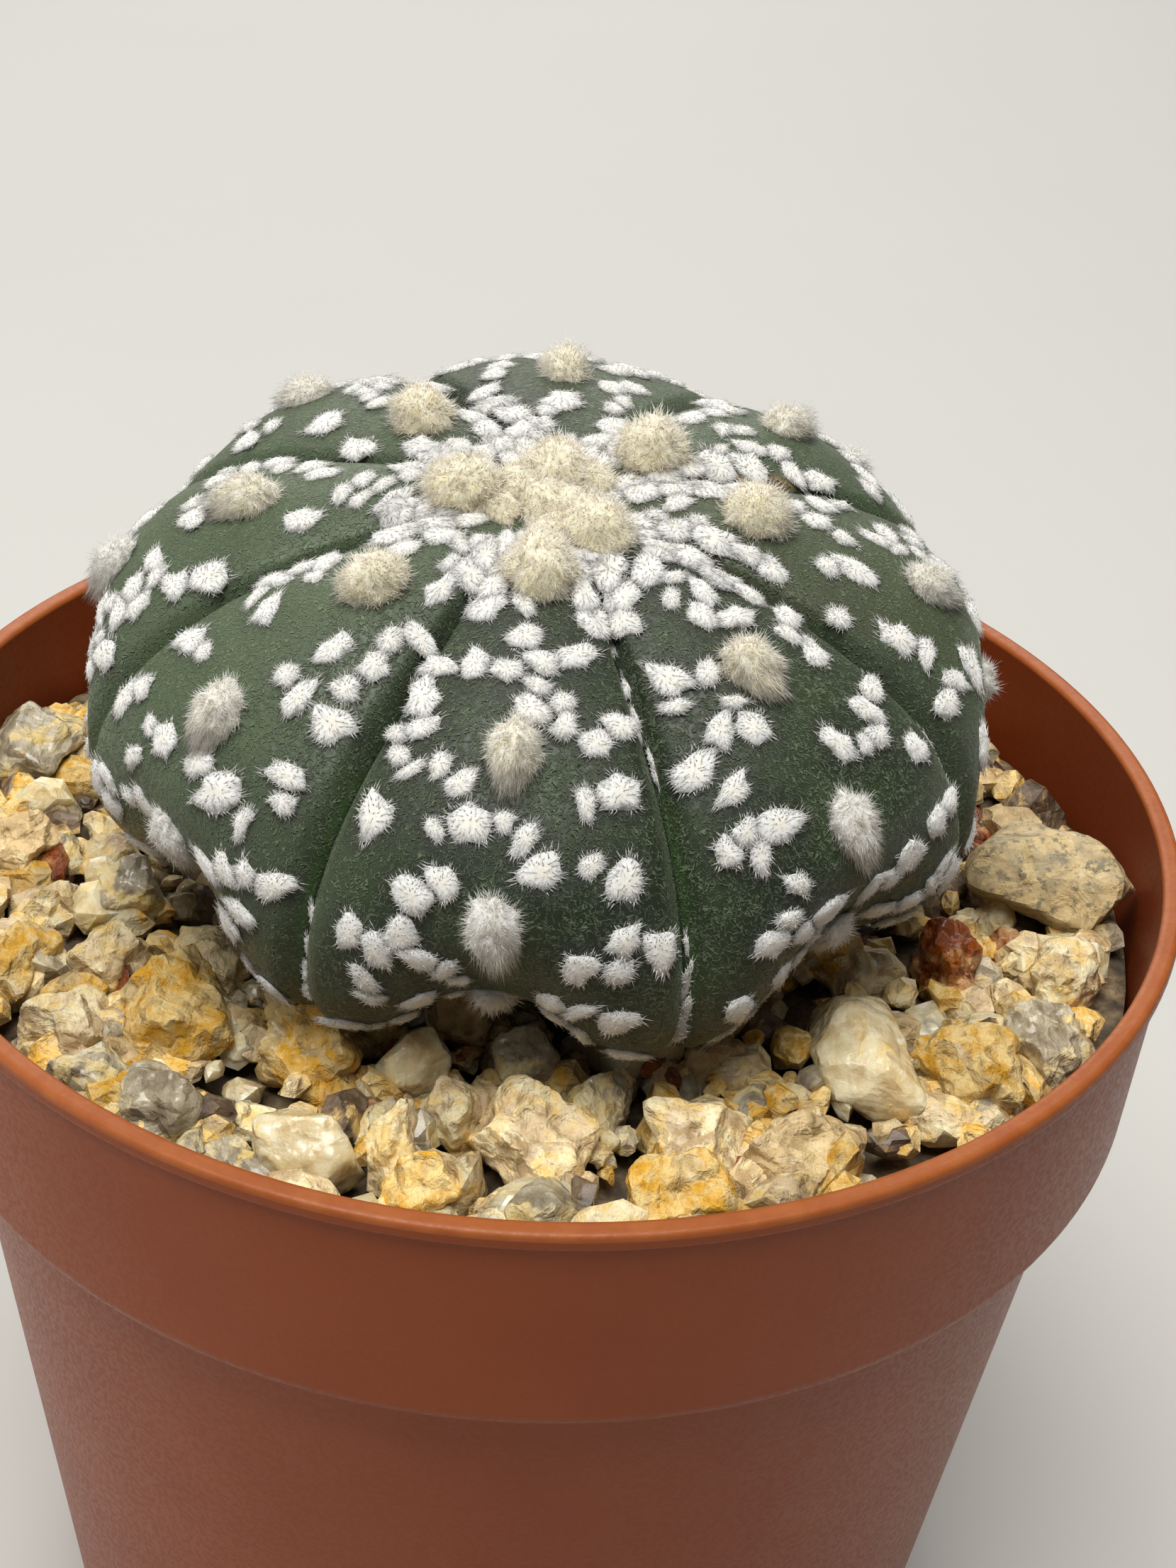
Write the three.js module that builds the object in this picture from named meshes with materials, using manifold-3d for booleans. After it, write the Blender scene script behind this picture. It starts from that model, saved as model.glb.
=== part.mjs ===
// A potted super kabuto star cactus: a ribbed, spineless globe with woolly areoles and
// felted white flecks, bedded in angular gravel over soil, in a round terracotta plastic pot.
// Units are millimetres and +Z is up. The origin is the middle of the ring the pot stands on.

import * as THREE from "three";
import { mergeVertices } from "three/addons/utils/BufferGeometryUtils.js";
import { ParametricGeometry } from "three/addons/geometries/ParametricGeometry.js";
import { ConvexGeometry } from "three/addons/geometries/ConvexGeometry.js";
import Module from "manifold-3d";

const wasm = await Module();
wasm.setup();

// Driving sizes

// Clearance between pieces that rest on each other.
const GAP = 0.3;
// Slivers that a union leaves are closed up when they are thinner than this.
const SLIVER = 0.08;

// The pot. Radii are outside radii, and heights are from the surface it stands on.
const POT_HEIGHT = 78;
const RIM_RADIUS = 45;
const WALL = 1.4;
const LIP_HEIGHT = 1.3;
const LIP_REACH = 0.5;
const COLLAR_HEIGHT = 16.2;
const COLLAR_FOOT_RADIUS = 44;
const STEP_HEIGHT = 1.8;
const BODY_TOP_RADIUS = 41.4;
const BODY_FOOT_RADIUS = 34.6;
const FOOT_WIDTH = 4.2;
const FLOOR_LIFT = 1.2;
const FLOOR_THICKNESS = 1.6;
const DRAIN_COUNT = 8;
const DRAIN_RADIUS = 3;
const DRAIN_CIRCLE = 22;
const POT_SIDES = 48;

// The fill, as depths below the rim.
const SOIL_DEPTH = 11.8;
const BED_DEPTH = 8;
const STONE_TOP_DEPTH = 3.9;
// The gravel lies higher at the front than at the back.
const GRAVEL_SLOPE = 0.05;
const FILL_SIDES = 48;

// Gravel stones.
const STONE_TRIES = 700;
const STONE_JITTER = 1.2;
const STONE_INNER = 10;
const STONE_OUTER = 40.6;
const STONE_LENGTH = [5.6, 8.6];
const STONE_OVERLAP = 0.85;
const STONE_POINTS = 11;
const STONE_SUNK = 0.9;
const STONE_BLOCKINESS = 3;
const STONE_SEED = 4107;
// Stones nearer the pot's axis than this are piled up against the plant's belly.
const PILE_RADIUS = 23;
const PILE_RISE = 3.5;

// Larger stones, each with its bearing in degrees and distance from the pot's axis, then its
// length, width, height, turn in degrees and how far it stands above the others.
const BIG_STONES = [
  { bearing: -1, reach: 36.8, size: [13.4, 9.6, 8.2], turn: -3, lift: 3.2 },
  { bearing: -20, reach: 30.5, size: [7.0, 5.6, 8.6], turn: 90, lift: 1.6 },
  { bearing: -44, reach: 30.5, size: [11.6, 7.6, 7.4], turn: 108, lift: 1.4 },
  { bearing: -37.5, reach: 36.4, size: [8.6, 7.2, 7.4], turn: 100, lift: 1.4 },
  { bearing: -17, reach: 38.0, size: [7.4, 5.6, 6.6], turn: 95, lift: 1.2 },
  { bearing: -28.5, reach: 38.2, size: [8.4, 5.8, 5.4], turn: 100, lift: 0.5 },
  { bearing: -61.5, reach: 36.1, size: [9.2, 5.6, 5.4], turn: 40, lift: 0.8 },
  { bearing: -70.5, reach: 32.4, size: [7.8, 6.0, 5.8], turn: 10, lift: 0.8 },
  { bearing: -74.5, reach: 37.2, size: [8.0, 6.0, 5.4], turn: 20, lift: 0.8 },
  { bearing: -79.5, reach: 28.4, size: [5.8, 4.8, 5.2], turn: 80, lift: 0.4 },
  { bearing: -88.5, reach: 31.6, size: [8.2, 7.6, 6.6], turn: 60, lift: 1.2 },
  { bearing: -90, reach: 23.2, size: [5.6, 5.2, 5.0], turn: 0, lift: 0.2 },
  { bearing: -98, reach: 29.8, size: [5.8, 4.6, 5.0], turn: 100, lift: 0.6 },
  { bearing: -105.5, reach: 25.6, size: [5.4, 5.0, 5.2], turn: 30, lift: 0.6 },
  { bearing: -102.5, reach: 33.6, size: [5.4, 4.0, 5.0], turn: 85, lift: 0.5 },
  { bearing: -98, reach: 36.8, size: [5.2, 4.6, 4.2], turn: 0, lift: 0.3 },
  { bearing: -119, reach: 27.8, size: [7.4, 6.6, 6.6], turn: -10, lift: 1.2 },
  { bearing: -111, reach: 36.0, size: [8.4, 5.0, 5.2], turn: -8, lift: 0.4 },
  { bearing: -136.5, reach: 30.6, size: [10.6, 8.4, 7.2], turn: 105, lift: 1.6 },
  { bearing: -125.5, reach: 37.2, size: [6.8, 5.2, 5.0], turn: -15, lift: 0.4 },
  { bearing: -143.5, reach: 25.4, size: [7.0, 6.4, 5.6], turn: 0, lift: 0.6 },
  { bearing: -141, reach: 37.4, size: [7.2, 5.2, 4.8], turn: -5, lift: 0.6 },
  { bearing: -133, reach: 38.9, size: [5.8, 4.6, 4.2], turn: 0, lift: 0.2 },
  { bearing: -150, reach: 31.8, size: [6.8, 5.4, 5.0], turn: 75, lift: 0.4 },
  { bearing: -163.5, reach: 28.6, size: [6.2, 5.4, 5.2], turn: 0, lift: 0.6 },
  { bearing: -153.5, reach: 37.2, size: [8.4, 5.8, 5.0], turn: 80, lift: 0.4 },
  { bearing: -175, reach: 36.2, size: [7.0, 5.6, 5.4], turn: 10, lift: 0.8 },
  { bearing: 166, reach: 38.6, size: [9.4, 6.6, 6.2], turn: 80, lift: 1.8 },
];

// The plant's body, about its own axis: height and depth are from its widest level.
const BODY_RADIUS = 30.8;
const BODY_HEIGHT = 16.5;
const BODY_DEPTH = 13.5;
// The belly reaches this much deeper at the back, where it leans away from the gravel.
const BACK_DEPTH = 10;
const DOME_POWER = 0.84;
const BELLY_POWER = 0.8;
const CROWN_DIMPLE = 1.8;
const CROWN_DIMPLE_RADIUS = 6;
// Its widest level stands this far above the rim, set off from the pot's axis.
const BODY_LIFT = 8.7;
const BODY_OFFSET = new THREE.Vector2(-0.36, -1.28);
// It leans this far towards the front, in radians.
const BODY_LEAN = 0.152;
const SLICES_PER_RIB = 8;
const BODY_STACKS = 18;

// Bearings of the seams between the ribs, in degrees, and the bearing of each first areole
// down from the crown, as an angle from the body's axis.
const SEAMS = [-116.4, -70.6, -22.8, 23.3, 63.2, 115.5, 157.2, 198.5];
const FIRST_AREOLE = [15, 8, 25, 16, 6, 24, 11, 27];
const AREOLE_STEP = 28.5;
const AREOLE_LAST = 101;
// Each seam is a narrow groove over this share of a rib's half width.
const SEAM_WIDTH = 0.14;
const SEAM_DEPTH = 1.5;
const SEAM_SHARPNESS = 1.6;
const RIB_SWELL = 1.1;
// Under the widest level each rib is hollowed below its lowest areoles.
const TUCK_DEPTH = 5;
const TUCK_WIDTH = 0.5;

// Areoles: half widths across and along the rib, and height above the skin.
const AREOLE_SIZE = [2.5, 2.9, 2.1];
const CROWN_WOOL = [3.4, 1.6];

// Felted flecks.
const FLECK_SEED = 2309;
const FLECK_TRIES = 220;
const FLECK_FROM = 15;
const FLECK_TO = 112;
const FLECK_SPREAD = 0.84;
const FLECK_SPACING = 4.6;
const FLECK_RADIUS = [1.3, 1.85];
const FLECK_HEIGHT = 0.85;
const FLECK_SIDES = 5;

// The taproot, down from the belly.
const ROOT_LENGTH = 44;
const ROOT_RADIUS = 7.5;
const ROOT_TIP_RADIUS = 2.2;
const ROOT_PLACE = new THREE.Vector2(-0.36, 0.7);

// Worked out from the driving sizes.
const COLLAR_Z = POT_HEIGHT - COLLAR_HEIGHT;
const STEP_Z = COLLAR_Z - STEP_HEIGHT;
const FLOOR_Z = FLOOR_LIFT + FLOOR_THICKNESS;
const BED_TOP = POT_HEIGHT - BED_DEPTH;
const DEGREE = Math.PI / 180;
const GOLDEN_ANGLE = Math.PI * (3 - Math.sqrt(5));

// Colours and finishes, one for each piece.
const FINISH = {
  pot: { color: 0xa9573a, roughness: 0.5, metalness: 0 },
  soil: { color: 0x3b2a1e, roughness: 0.95, metalness: 0 },
  gravel: { color: 0xbfa277, roughness: 0.8, metalness: 0 },
  plant: { color: 0x45563f, roughness: 0.6, metalness: 0 },
};

// Helpers

// A repeatable stream of random numbers from 0 to 1.
function seeded(seed) {
  let state = seed >>> 0;
  return () => {
    state = (state + 0x6d2b79f5) >>> 0;
    let mixed = Math.imul(state ^ (state >>> 15), state | 1);
    mixed = (mixed + Math.imul(mixed ^ (mixed >>> 7), mixed | 61)) ^ mixed;
    return ((mixed ^ (mixed >>> 14)) >>> 0) / 4294967296;
  };
}

// Rises smoothly from 0 at low to 1 at high.
function ease(value, low, high) {
  const t = Math.min(1, Math.max(0, (value - low) / (high - low)));
  return t * t * (3 - 2 * t);
}

function between([low, high], share) {
  return low + (high - low) * share;
}

// The closed solid of a geometry, with its flat triangles dropped.
function solid(geometry) {
  const bare = geometry.clone();
  bare.deleteAttribute("normal");
  bare.deleteAttribute("uv");
  const welded = mergeVertices(bare, 1e-4);
  const corners = welded.index.array;
  const kept = [];
  for (let i = 0; i < corners.length; i += 3) {
    const [a, b, c] = [corners[i], corners[i + 1], corners[i + 2]];
    if (a !== b && b !== c && a !== c) kept.push(a, b, c);
  }
  return new wasm.Manifold(
    new wasm.Mesh({
      numProp: 3,
      vertProperties: new Float32Array(welded.attributes.position.array),
      triVerts: new Uint32Array(kept),
    }),
  );
}

// The union of a list of solids, taken in pairs.
function fuse(solids) {
  let rest = solids;
  while (rest.length > 1) {
    const paired = [];
    for (let i = 0; i < rest.length; i += 2) {
      paired.push(i + 1 < rest.length ? rest[i].add(rest[i + 1]) : rest[i]);
    }
    rest = paired;
  }
  return rest[0];
}

// The largest body of a solid, without the loose scraps that a cut leaves.
function largest(made) {
  const bodies = made.decompose();
  return bodies.reduce((best, body) => (body.volume() > best.volume() ? body : best));
}

// A named mesh of a solid, with its own finish.
function piece(name, made) {
  const mesh = made.getMesh();
  const geometry = new THREE.BufferGeometry();
  const places = new Float32Array(mesh.numVert * 3);
  for (let i = 0; i < mesh.numVert; i++) {
    const start = i * mesh.numProp;
    places.set(mesh.vertProperties.subarray(start, start + 3), i * 3);
  }
  geometry.setAttribute("position", new THREE.BufferAttribute(places, 3));
  geometry.setIndex(new THREE.BufferAttribute(mesh.triVerts, 1));
  geometry.computeVertexNormals();
  const shown = new THREE.Mesh(geometry, new THREE.MeshStandardMaterial(FINISH[name]));
  shown.name = name;
  return shown;
}

// A turned solid about Z, from a profile of [radius, height] pairs that starts and ends on
// the axis, or closes on itself, and runs so that the solid is on its left.
function turned(profile, sides) {
  const points = profile.map(([r, z]) => new THREE.Vector2(r, z));
  const lathe = new THREE.LatheGeometry(points, sides);
  lathe.rotateX(Math.PI / 2);
  return solid(lathe);
}

// Pot

// The inside radius of the pot's wall at a height.
function wallInside(z) {
  if (z >= COLLAR_Z) {
    const share = (z - COLLAR_Z) / COLLAR_HEIGHT;
    return COLLAR_FOOT_RADIUS - WALL + share * (RIM_RADIUS - COLLAR_FOOT_RADIUS);
  }
  const share = Math.min(1, z / STEP_Z);
  return BODY_FOOT_RADIUS - WALL + share * (BODY_TOP_RADIUS - BODY_FOOT_RADIUS);
}

function makePot() {
  const lipZ = POT_HEIGHT - LIP_HEIGHT;
  const collarTop = RIM_RADIUS - LIP_REACH;
  const profile = [
    [0, FLOOR_LIFT],
    [BODY_FOOT_RADIUS - FOOT_WIDTH - 0.6, FLOOR_LIFT],
    [BODY_FOOT_RADIUS - FOOT_WIDTH, 0],
    [BODY_FOOT_RADIUS - 0.8, 0],
    [BODY_FOOT_RADIUS, 0.9],
    [BODY_TOP_RADIUS, STEP_Z],
    [BODY_TOP_RADIUS + 0.5, STEP_Z + 0.9],
    [COLLAR_FOOT_RADIUS - 0.9, STEP_Z + 1.1],
    [COLLAR_FOOT_RADIUS - 0.2, STEP_Z + 1.4],
    [COLLAR_FOOT_RADIUS, COLLAR_Z + 0.4],
    [collarTop, lipZ - 0.25],
    [collarTop - 0.1, lipZ],
    [RIM_RADIUS - 0.1, lipZ + 0.1],
    [RIM_RADIUS, lipZ + 0.4],
    [RIM_RADIUS - 0.05, POT_HEIGHT - 0.4],
    [RIM_RADIUS - 0.35, POT_HEIGHT],
    [RIM_RADIUS - WALL + 0.25, POT_HEIGHT],
    [RIM_RADIUS - WALL, POT_HEIGHT - 0.3],
    [wallInside(COLLAR_Z), COLLAR_Z],
    [wallInside(STEP_Z), STEP_Z],
    [wallInside(FLOOR_Z + 1), FLOOR_Z + 1],
    [wallInside(FLOOR_Z) - 0.8, FLOOR_Z],
    [0, FLOOR_Z],
  ];
  const drains = [];
  for (let i = 0; i < DRAIN_COUNT; i++) {
    const angle = (2 * Math.PI * (i + 0.5)) / DRAIN_COUNT;
    const drain = new THREE.CylinderGeometry(DRAIN_RADIUS, DRAIN_RADIUS, 3 * FLOOR_Z, 16);
    drain.rotateX(Math.PI / 2);
    drain.translate(DRAIN_CIRCLE * Math.cos(angle), DRAIN_CIRCLE * Math.sin(angle), FLOOR_Z);
    drains.push(solid(drain));
  }
  return turned(profile, POT_SIDES).subtract(fuse(drains));
}

// Plant

const ribCount = SEAMS.length;

// The two seams of a rib, in degrees.
function ribEdges(rib) {
  const low = SEAMS[rib];
  const high = rib + 1 < ribCount ? SEAMS[rib + 1] : SEAMS[0] + 360;
  return [low, high];
}

// The body's smooth outline at an angle down from its axis and a turn about it: radius and
// height.
function outline(angle, turn) {
  const sine = Math.sin(angle);
  const cosine = Math.cos(angle);
  const radius = BODY_RADIUS * sine;
  const depth = BODY_DEPTH + BACK_DEPTH * Math.max(0, Math.sin(turn)) ** 1.5 * sine;
  const rise =
    cosine >= 0
      ? BODY_HEIGHT * Math.pow(cosine, DOME_POWER)
      : -depth * Math.pow(-cosine, BELLY_POWER);
  const dimple = CROWN_DIMPLE * Math.exp(-((radius / CROWN_DIMPLE_RADIUS) ** 2));
  return [radius, rise - dimple];
}

// The outward direction of that outline.
function outlineNormal(angle, turn) {
  const [r0, z0] = outline(Math.max(0, angle - 1e-3), turn);
  const [r1, z1] = outline(Math.min(Math.PI, angle + 1e-3), turn);
  const length = Math.hypot(r1 - r0, z1 - z0) || 1;
  return [(z0 - z1) / length, (r1 - r0) / length];
}

// How far the skin lies below the smooth outline: across runs from -1 at one seam to 1 at
// the next, with the rib's crest at 0.
function sink(angle, across) {
  const degrees = angle / DEGREE;
  const edge = Math.abs(across);
  const open = ease(degrees, 4, 30);
  const near = Math.max(0, (edge - 1 + SEAM_WIDTH) / SEAM_WIDTH);
  const fade = 1 - 0.5 * ease(degrees, 85, 120);
  const seam = SEAM_DEPTH * open * fade * Math.pow(near, SEAM_SHARPNESS);
  const swell = RIB_SWELL * open * (1 - ease(degrees, 70, 100)) * edge * edge;
  const under = ease(degrees, 66, 108) * (1 - ease(degrees, 140, 175));
  const tuck = TUCK_DEPTH * under * Math.exp(-((edge / TUCK_WIDTH) ** 2));
  return seam + swell + tuck;
}

// A point of the skin in the body's own frame, raised by a given amount.
function skin(rib, angle, across, raised) {
  const [low, high] = ribEdges(rib);
  const turn = ((low + high) / 2 + (across * (high - low)) / 2) * DEGREE;
  const [radius, height] = outline(angle, turn);
  const [outR, outZ] = outlineNormal(angle, turn);
  const move = raised - sink(angle, across);
  const reach = Math.max(0, radius + move * outR);
  return new THREE.Vector3(
    reach * Math.cos(turn),
    reach * Math.sin(turn),
    height + move * outZ,
  );
}

// The outward direction of the skin, from its neighbours.
function skinNormal(rib, angle, across) {
  const step = 0.02;
  const along = skin(rib, angle + step, across, 0).sub(skin(rib, angle - step, across, 0));
  const aside = skin(rib, angle, across + step, 0).sub(skin(rib, angle, across - step, 0));
  return along.cross(aside).normalize();
}

// The ribbed body as a closed solid in its own frame, grown outwards by an amount.
function bodySolid(grown, slicesPerRib, stacks) {
  const skinAt = (u, v, target) => {
    const slice = Math.min(ribCount - 1e-9, (1 - u) * ribCount);
    const rib = Math.floor(slice + 1e-6) % ribCount;
    const share = slice - Math.floor(slice + 1e-6);
    const across = -Math.cos(Math.PI * Math.max(0, share));
    const angle = v * Math.PI;
    if (v === 0 || v === 1) {
      target.set(0, 0, outline(angle, 0)[1] + (v === 0 ? grown : -grown));
      return;
    }
    target.copy(skin(rib, angle, across, grown));
  };
  return solid(new ParametricGeometry(skinAt, slicesPerRib * ribCount, stacks));
}

// Turns a shape so that its own Z points along the skin's outward direction and its X runs
// down the rib, and puts it on the skin.
function planted(geometry, rib, angle, across) {
  const out = skinNormal(rib, angle, across);
  const down = skin(rib, angle + 0.02, across, 0).sub(skin(rib, angle - 0.02, across, 0));
  const side = new THREE.Vector3().crossVectors(out, down).normalize();
  down.crossVectors(side, out);
  const matrix = new THREE.Matrix4().makeBasis(down, side, out);
  matrix.setPosition(skin(rib, angle, across, 0));
  return solid(geometry.applyMatrix4(matrix));
}

// The angles of a rib's areoles down from the crown, in degrees.
function areoleAngles(rib) {
  const angles = [];
  for (let a = FIRST_AREOLE[rib]; a <= AREOLE_LAST; a += AREOLE_STEP) angles.push(a);
  return angles;
}

// Woolly areoles stand on each rib's crest in a spiral, closer together at the crown.
function makeAreoles() {
  const made = [];
  const [across, along, height] = AREOLE_SIZE;
  for (let rib = 0; rib < ribCount; rib++) {
    for (const degrees of areoleAngles(rib)) {
      const size = 0.88 + 0.12 * ease(degrees, 5, 20);
      const tuft = new THREE.SphereGeometry(1, 6, 4);
      tuft.rotateX(Math.PI / 2);
      tuft.scale(along * size, across * size, height * size);
      made.push(planted(tuft, rib, degrees * DEGREE, 0));
    }
  }
  const [radius, rise] = CROWN_WOOL;
  const crown = new THREE.SphereGeometry(1, 8, 4);
  crown.rotateX(Math.PI / 2);
  crown.scale(radius, radius, rise);
  crown.translate(0, 0, outline(0, 0)[1] + 0.5);
  made.push(solid(crown));
  return made;
}

// Where flecks stand: scattered over each rib, clear of its areoles and of each other.
function fleckPlaces() {
  const draw = seeded(FLECK_SEED);
  const places = [];
  for (let rib = 0; rib < ribCount; rib++) {
    const tufts = areoleAngles(rib).map((a) => skin(rib, a * DEGREE, 0, 0));
    for (let attempt = 0; attempt < FLECK_TRIES; attempt++) {
      const degrees = between([FLECK_FROM, FLECK_TO], draw());
      const across = (2 * draw() - 1) * FLECK_SPREAD;
      const radius = between(FLECK_RADIUS, draw());
      const stretch = between([0.8, 1.3], draw());
      const turn = Math.PI * draw();
      const centre = skin(rib, degrees * DEGREE, across, 0);
      const clear = tufts.every((t) => t.distanceTo(centre) > 2.6 + radius);
      const apart = places.every((p) => p.centre.distanceTo(centre) > FLECK_SPACING);
      if (clear && apart) places.push({ rib, degrees, across, radius, stretch, turn, centre });
    }
  }
  return places;
}

// Each fleck is a low pointed pad of felt, sunk well into the skin.
function makeFlecks() {
  return fleckPlaces().map(({ rib, degrees, across, radius, stretch, turn }) => {
    const sunk = 0.6;
    const spread = 1 + sunk / FLECK_HEIGHT;
    const pad = new THREE.ConeGeometry(radius * spread, FLECK_HEIGHT + sunk, FLECK_SIDES);
    pad.rotateX(Math.PI / 2);
    pad.translate(0, 0, (FLECK_HEIGHT - sunk) / 2);
    pad.scale(stretch, 1 / stretch, 1);
    pad.rotateZ(turn);
    return planted(pad, rib, degrees * DEGREE, across);
  });
}

// The body's place in the part's frame.
function bodyPlace() {
  const matrix = new THREE.Matrix4().makeRotationX(BODY_LEAN);
  matrix.setPosition(BODY_OFFSET.x, BODY_OFFSET.y, POT_HEIGHT + BODY_LIFT);
  return matrix;
}

// Moves a solid from the body's frame to the part's frame.
function placed(made) {
  return made.transform(bodyPlace().toArray());
}

// The taproot, a blunt taper from inside the belly down into the soil.
function rootSolid(grown, sides) {
  const top = POT_HEIGHT - 1;
  const foot = POT_HEIGHT - ROOT_LENGTH - grown;
  const profile = [
    [0, foot],
    [(ROOT_TIP_RADIUS + grown) * 0.6, foot + 0.3],
    [ROOT_TIP_RADIUS + grown, foot + 2],
    [ROOT_RADIUS * 0.62 + grown, foot + ROOT_LENGTH * 0.4],
    [ROOT_RADIUS + grown, POT_HEIGHT - SOIL_DEPTH],
    [ROOT_RADIUS + grown, top],
    [0, top],
  ];
  return turned(profile, sides).translate([ROOT_PLACE.x, ROOT_PLACE.y, 0]);
}

function makePlant() {
  const body = bodySolid(0, SLICES_PER_RIB, BODY_STACKS);
  const head = fuse([body, ...makeAreoles(), ...makeFlecks()]);
  return largest(placed(head).add(rootSolid(0, 16)).simplify(SLIVER));
}

// The room that the plant takes in the fill, with its clearance.
function plantRoom() {
  const body = placed(bodySolid(GAP, SLICES_PER_RIB, BODY_STACKS));
  return body.add(rootSolid(GAP, 16));
}

// Fill

// A disc of fill between two heights, clear of the pot's wall.
function fillDisc(low, high) {
  const reach = (z) => wallInside(z) - GAP - 0.1;
  const profile = [[0, low]];
  for (const z of [low, low + 1, STEP_Z, COLLAR_Z, high]) {
    if (z >= low && z <= high) profile.push([reach(z) - (z === low ? 0.9 : 0), z]);
  }
  profile.push([0, high]);
  return turned(profile, FILL_SIDES);
}

function makeSoil() {
  const soil = fillDisc(FLOOR_Z + GAP, POT_HEIGHT - SOIL_DEPTH);
  return soil.subtract(rootSolid(GAP, 16));
}

// One angular stone: the hull of random points on a rounded block.
function stoneSolid({ x, y, size, turn, top }, draw) {
  const [length, width, height] = size;
  const limit = wallInside(top) - GAP - 0.15;
  const low = POT_HEIGHT - SOIL_DEPTH + GAP + 0.2;
  const cosine = Math.cos(turn);
  const sine = Math.sin(turn);
  const points = [];
  for (let i = 0; i < STONE_POINTS; i++) {
    const level = 1 - (2 * (i + 0.5)) / STONE_POINTS;
    const ring = Math.sqrt(1 - level * level);
    const around = GOLDEN_ANGLE * i + 1.1 * draw();
    const way = [ring * Math.cos(around), ring * Math.sin(around), level];
    const round = way.reduce((sum, w) => sum + Math.abs(w) ** STONE_BLOCKINESS, 0);
    const bulk = (0.94 + 0.2 * draw()) / round ** (1 / STONE_BLOCKINESS);
    const along = (length / 2) * way[0] * bulk;
    const aside = (width / 2) * way[1] * bulk;
    const point = new THREE.Vector3(
      x + along * cosine - aside * sine,
      y + along * sine + aside * cosine,
      Math.max(low, top - height / 2 + (height / 2) * way[2] * Math.min(1, bulk)),
    );
    const reach = Math.hypot(point.x, point.y);
    if (reach > limit) {
      point.x *= limit / reach;
      point.y *= limit / reach;
    }
    points.push(point);
  }
  return solid(new ConvexGeometry(points));
}

// The height of the gravel's surface at a place.
function gravelTop(x, y) {
  const pile = PILE_RISE * (1 - ease(Math.hypot(x, y), PILE_RADIUS - 3, PILE_RADIUS));
  return POT_HEIGHT - STONE_TOP_DEPTH - GRAVEL_SLOPE * y + pile;
}

// A stone's size, tall enough to reach down into the bed from its top.
function seated([length, width, height], top) {
  return [length, width, Math.max(height, top - BED_TOP + STONE_SUNK)];
}

// The mean radius of a stone seen from above.
function footprint({ size }) {
  return (size[0] + size[1]) / 4;
}

// Where stones lie: the larger ones, then an even spiral of others around them.
function stonePlaces(draw) {
  const stones = BIG_STONES.map(({ bearing, reach, size, turn, lift }) => {
    const x = reach * Math.cos(bearing * DEGREE);
    const y = reach * Math.sin(bearing * DEGREE);
    const top = gravelTop(x, y) + lift;
    return { x, y, size: seated(size, top), turn: turn * DEGREE, top };
  });
  for (let i = 0; i < STONE_TRIES; i++) {
    const share = (i + 0.5) / STONE_TRIES;
    const reach = STONE_OUTER * Math.sqrt(share);
    const x = reach * Math.cos(i * GOLDEN_ANGLE) + STONE_JITTER * (2 * draw() - 1);
    const y = reach * Math.sin(i * GOLDEN_ANGLE) + STONE_JITTER * (2 * draw() - 1);
    const length = between(STONE_LENGTH, draw());
    const width = length * between([0.68, 0.95], draw());
    const turn = 2 * Math.PI * draw();
    const top = gravelTop(x, y) - 1.6 * draw();
    const stone = { x, y, size: seated([length, width, length * 0.8], top), turn, top };
    const clear = stones.every((s) => {
      const away = Math.hypot(s.x - x, s.y - y);
      return away > STONE_OVERLAP * (footprint(s) + footprint(stone));
    });
    const away = Math.hypot(x, y);
    if (clear && away > STONE_INNER && away < STONE_OUTER) stones.push(stone);
  }
  return stones;
}

function makeGravel() {
  const draw = seeded(STONE_SEED);
  const stones = stonePlaces(draw).map((stone) => stoneSolid(stone, draw));
  const bed = fillDisc(POT_HEIGHT - SOIL_DEPTH + GAP, BED_TOP);
  return largest(fuse([bed, ...stones]).subtract(plantRoom()).simplify(SLIVER));
}

const group = new THREE.Group();
group.name = "potted_star_cactus";
group.add(piece("pot", makePot()));
group.add(piece("soil", makeSoil()));
group.add(piece("gravel", makeGravel()));
group.add(piece("plant", makePlant()));

export default group;
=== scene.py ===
"""Looks of a potted super kabuto star cactus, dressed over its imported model.

The plant, the gravel and the pot are finer pieces that keep the forms of their solids, placed
by the same rules and the same seeds. Lengths are in millimetres where a name doesn't say
otherwise, and become metres as each mesh is made.
"""

import logging
import math
from collections.abc import Callable, Iterable, Sequence
from dataclasses import dataclass, field
from enum import Enum

import bmesh
import bpy
import numpy as np
from mathutils import Matrix, Vector, noise


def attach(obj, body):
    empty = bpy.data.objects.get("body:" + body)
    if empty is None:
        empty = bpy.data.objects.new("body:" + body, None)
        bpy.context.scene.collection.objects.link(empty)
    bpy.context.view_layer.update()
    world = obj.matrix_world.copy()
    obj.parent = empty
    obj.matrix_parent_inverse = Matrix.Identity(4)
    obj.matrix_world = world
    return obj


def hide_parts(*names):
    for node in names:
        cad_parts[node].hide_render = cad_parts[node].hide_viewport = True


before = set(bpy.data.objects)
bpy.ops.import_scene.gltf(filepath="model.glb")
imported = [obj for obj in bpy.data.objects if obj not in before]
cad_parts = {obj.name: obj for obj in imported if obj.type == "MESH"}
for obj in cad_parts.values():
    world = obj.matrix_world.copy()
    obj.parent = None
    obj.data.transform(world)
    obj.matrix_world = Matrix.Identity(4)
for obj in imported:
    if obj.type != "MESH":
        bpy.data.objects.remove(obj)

log = logging.getLogger("star_cactus")

MM = 0.001
DEGREE = math.pi / 180
GOLDEN_ANGLE = math.pi * (3 - math.sqrt(5))
WORD = 0xFFFFFFFF
STREAM_STEP = 0x6D2B79F5
FELT_SEED = 51
BODY = "root"

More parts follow.
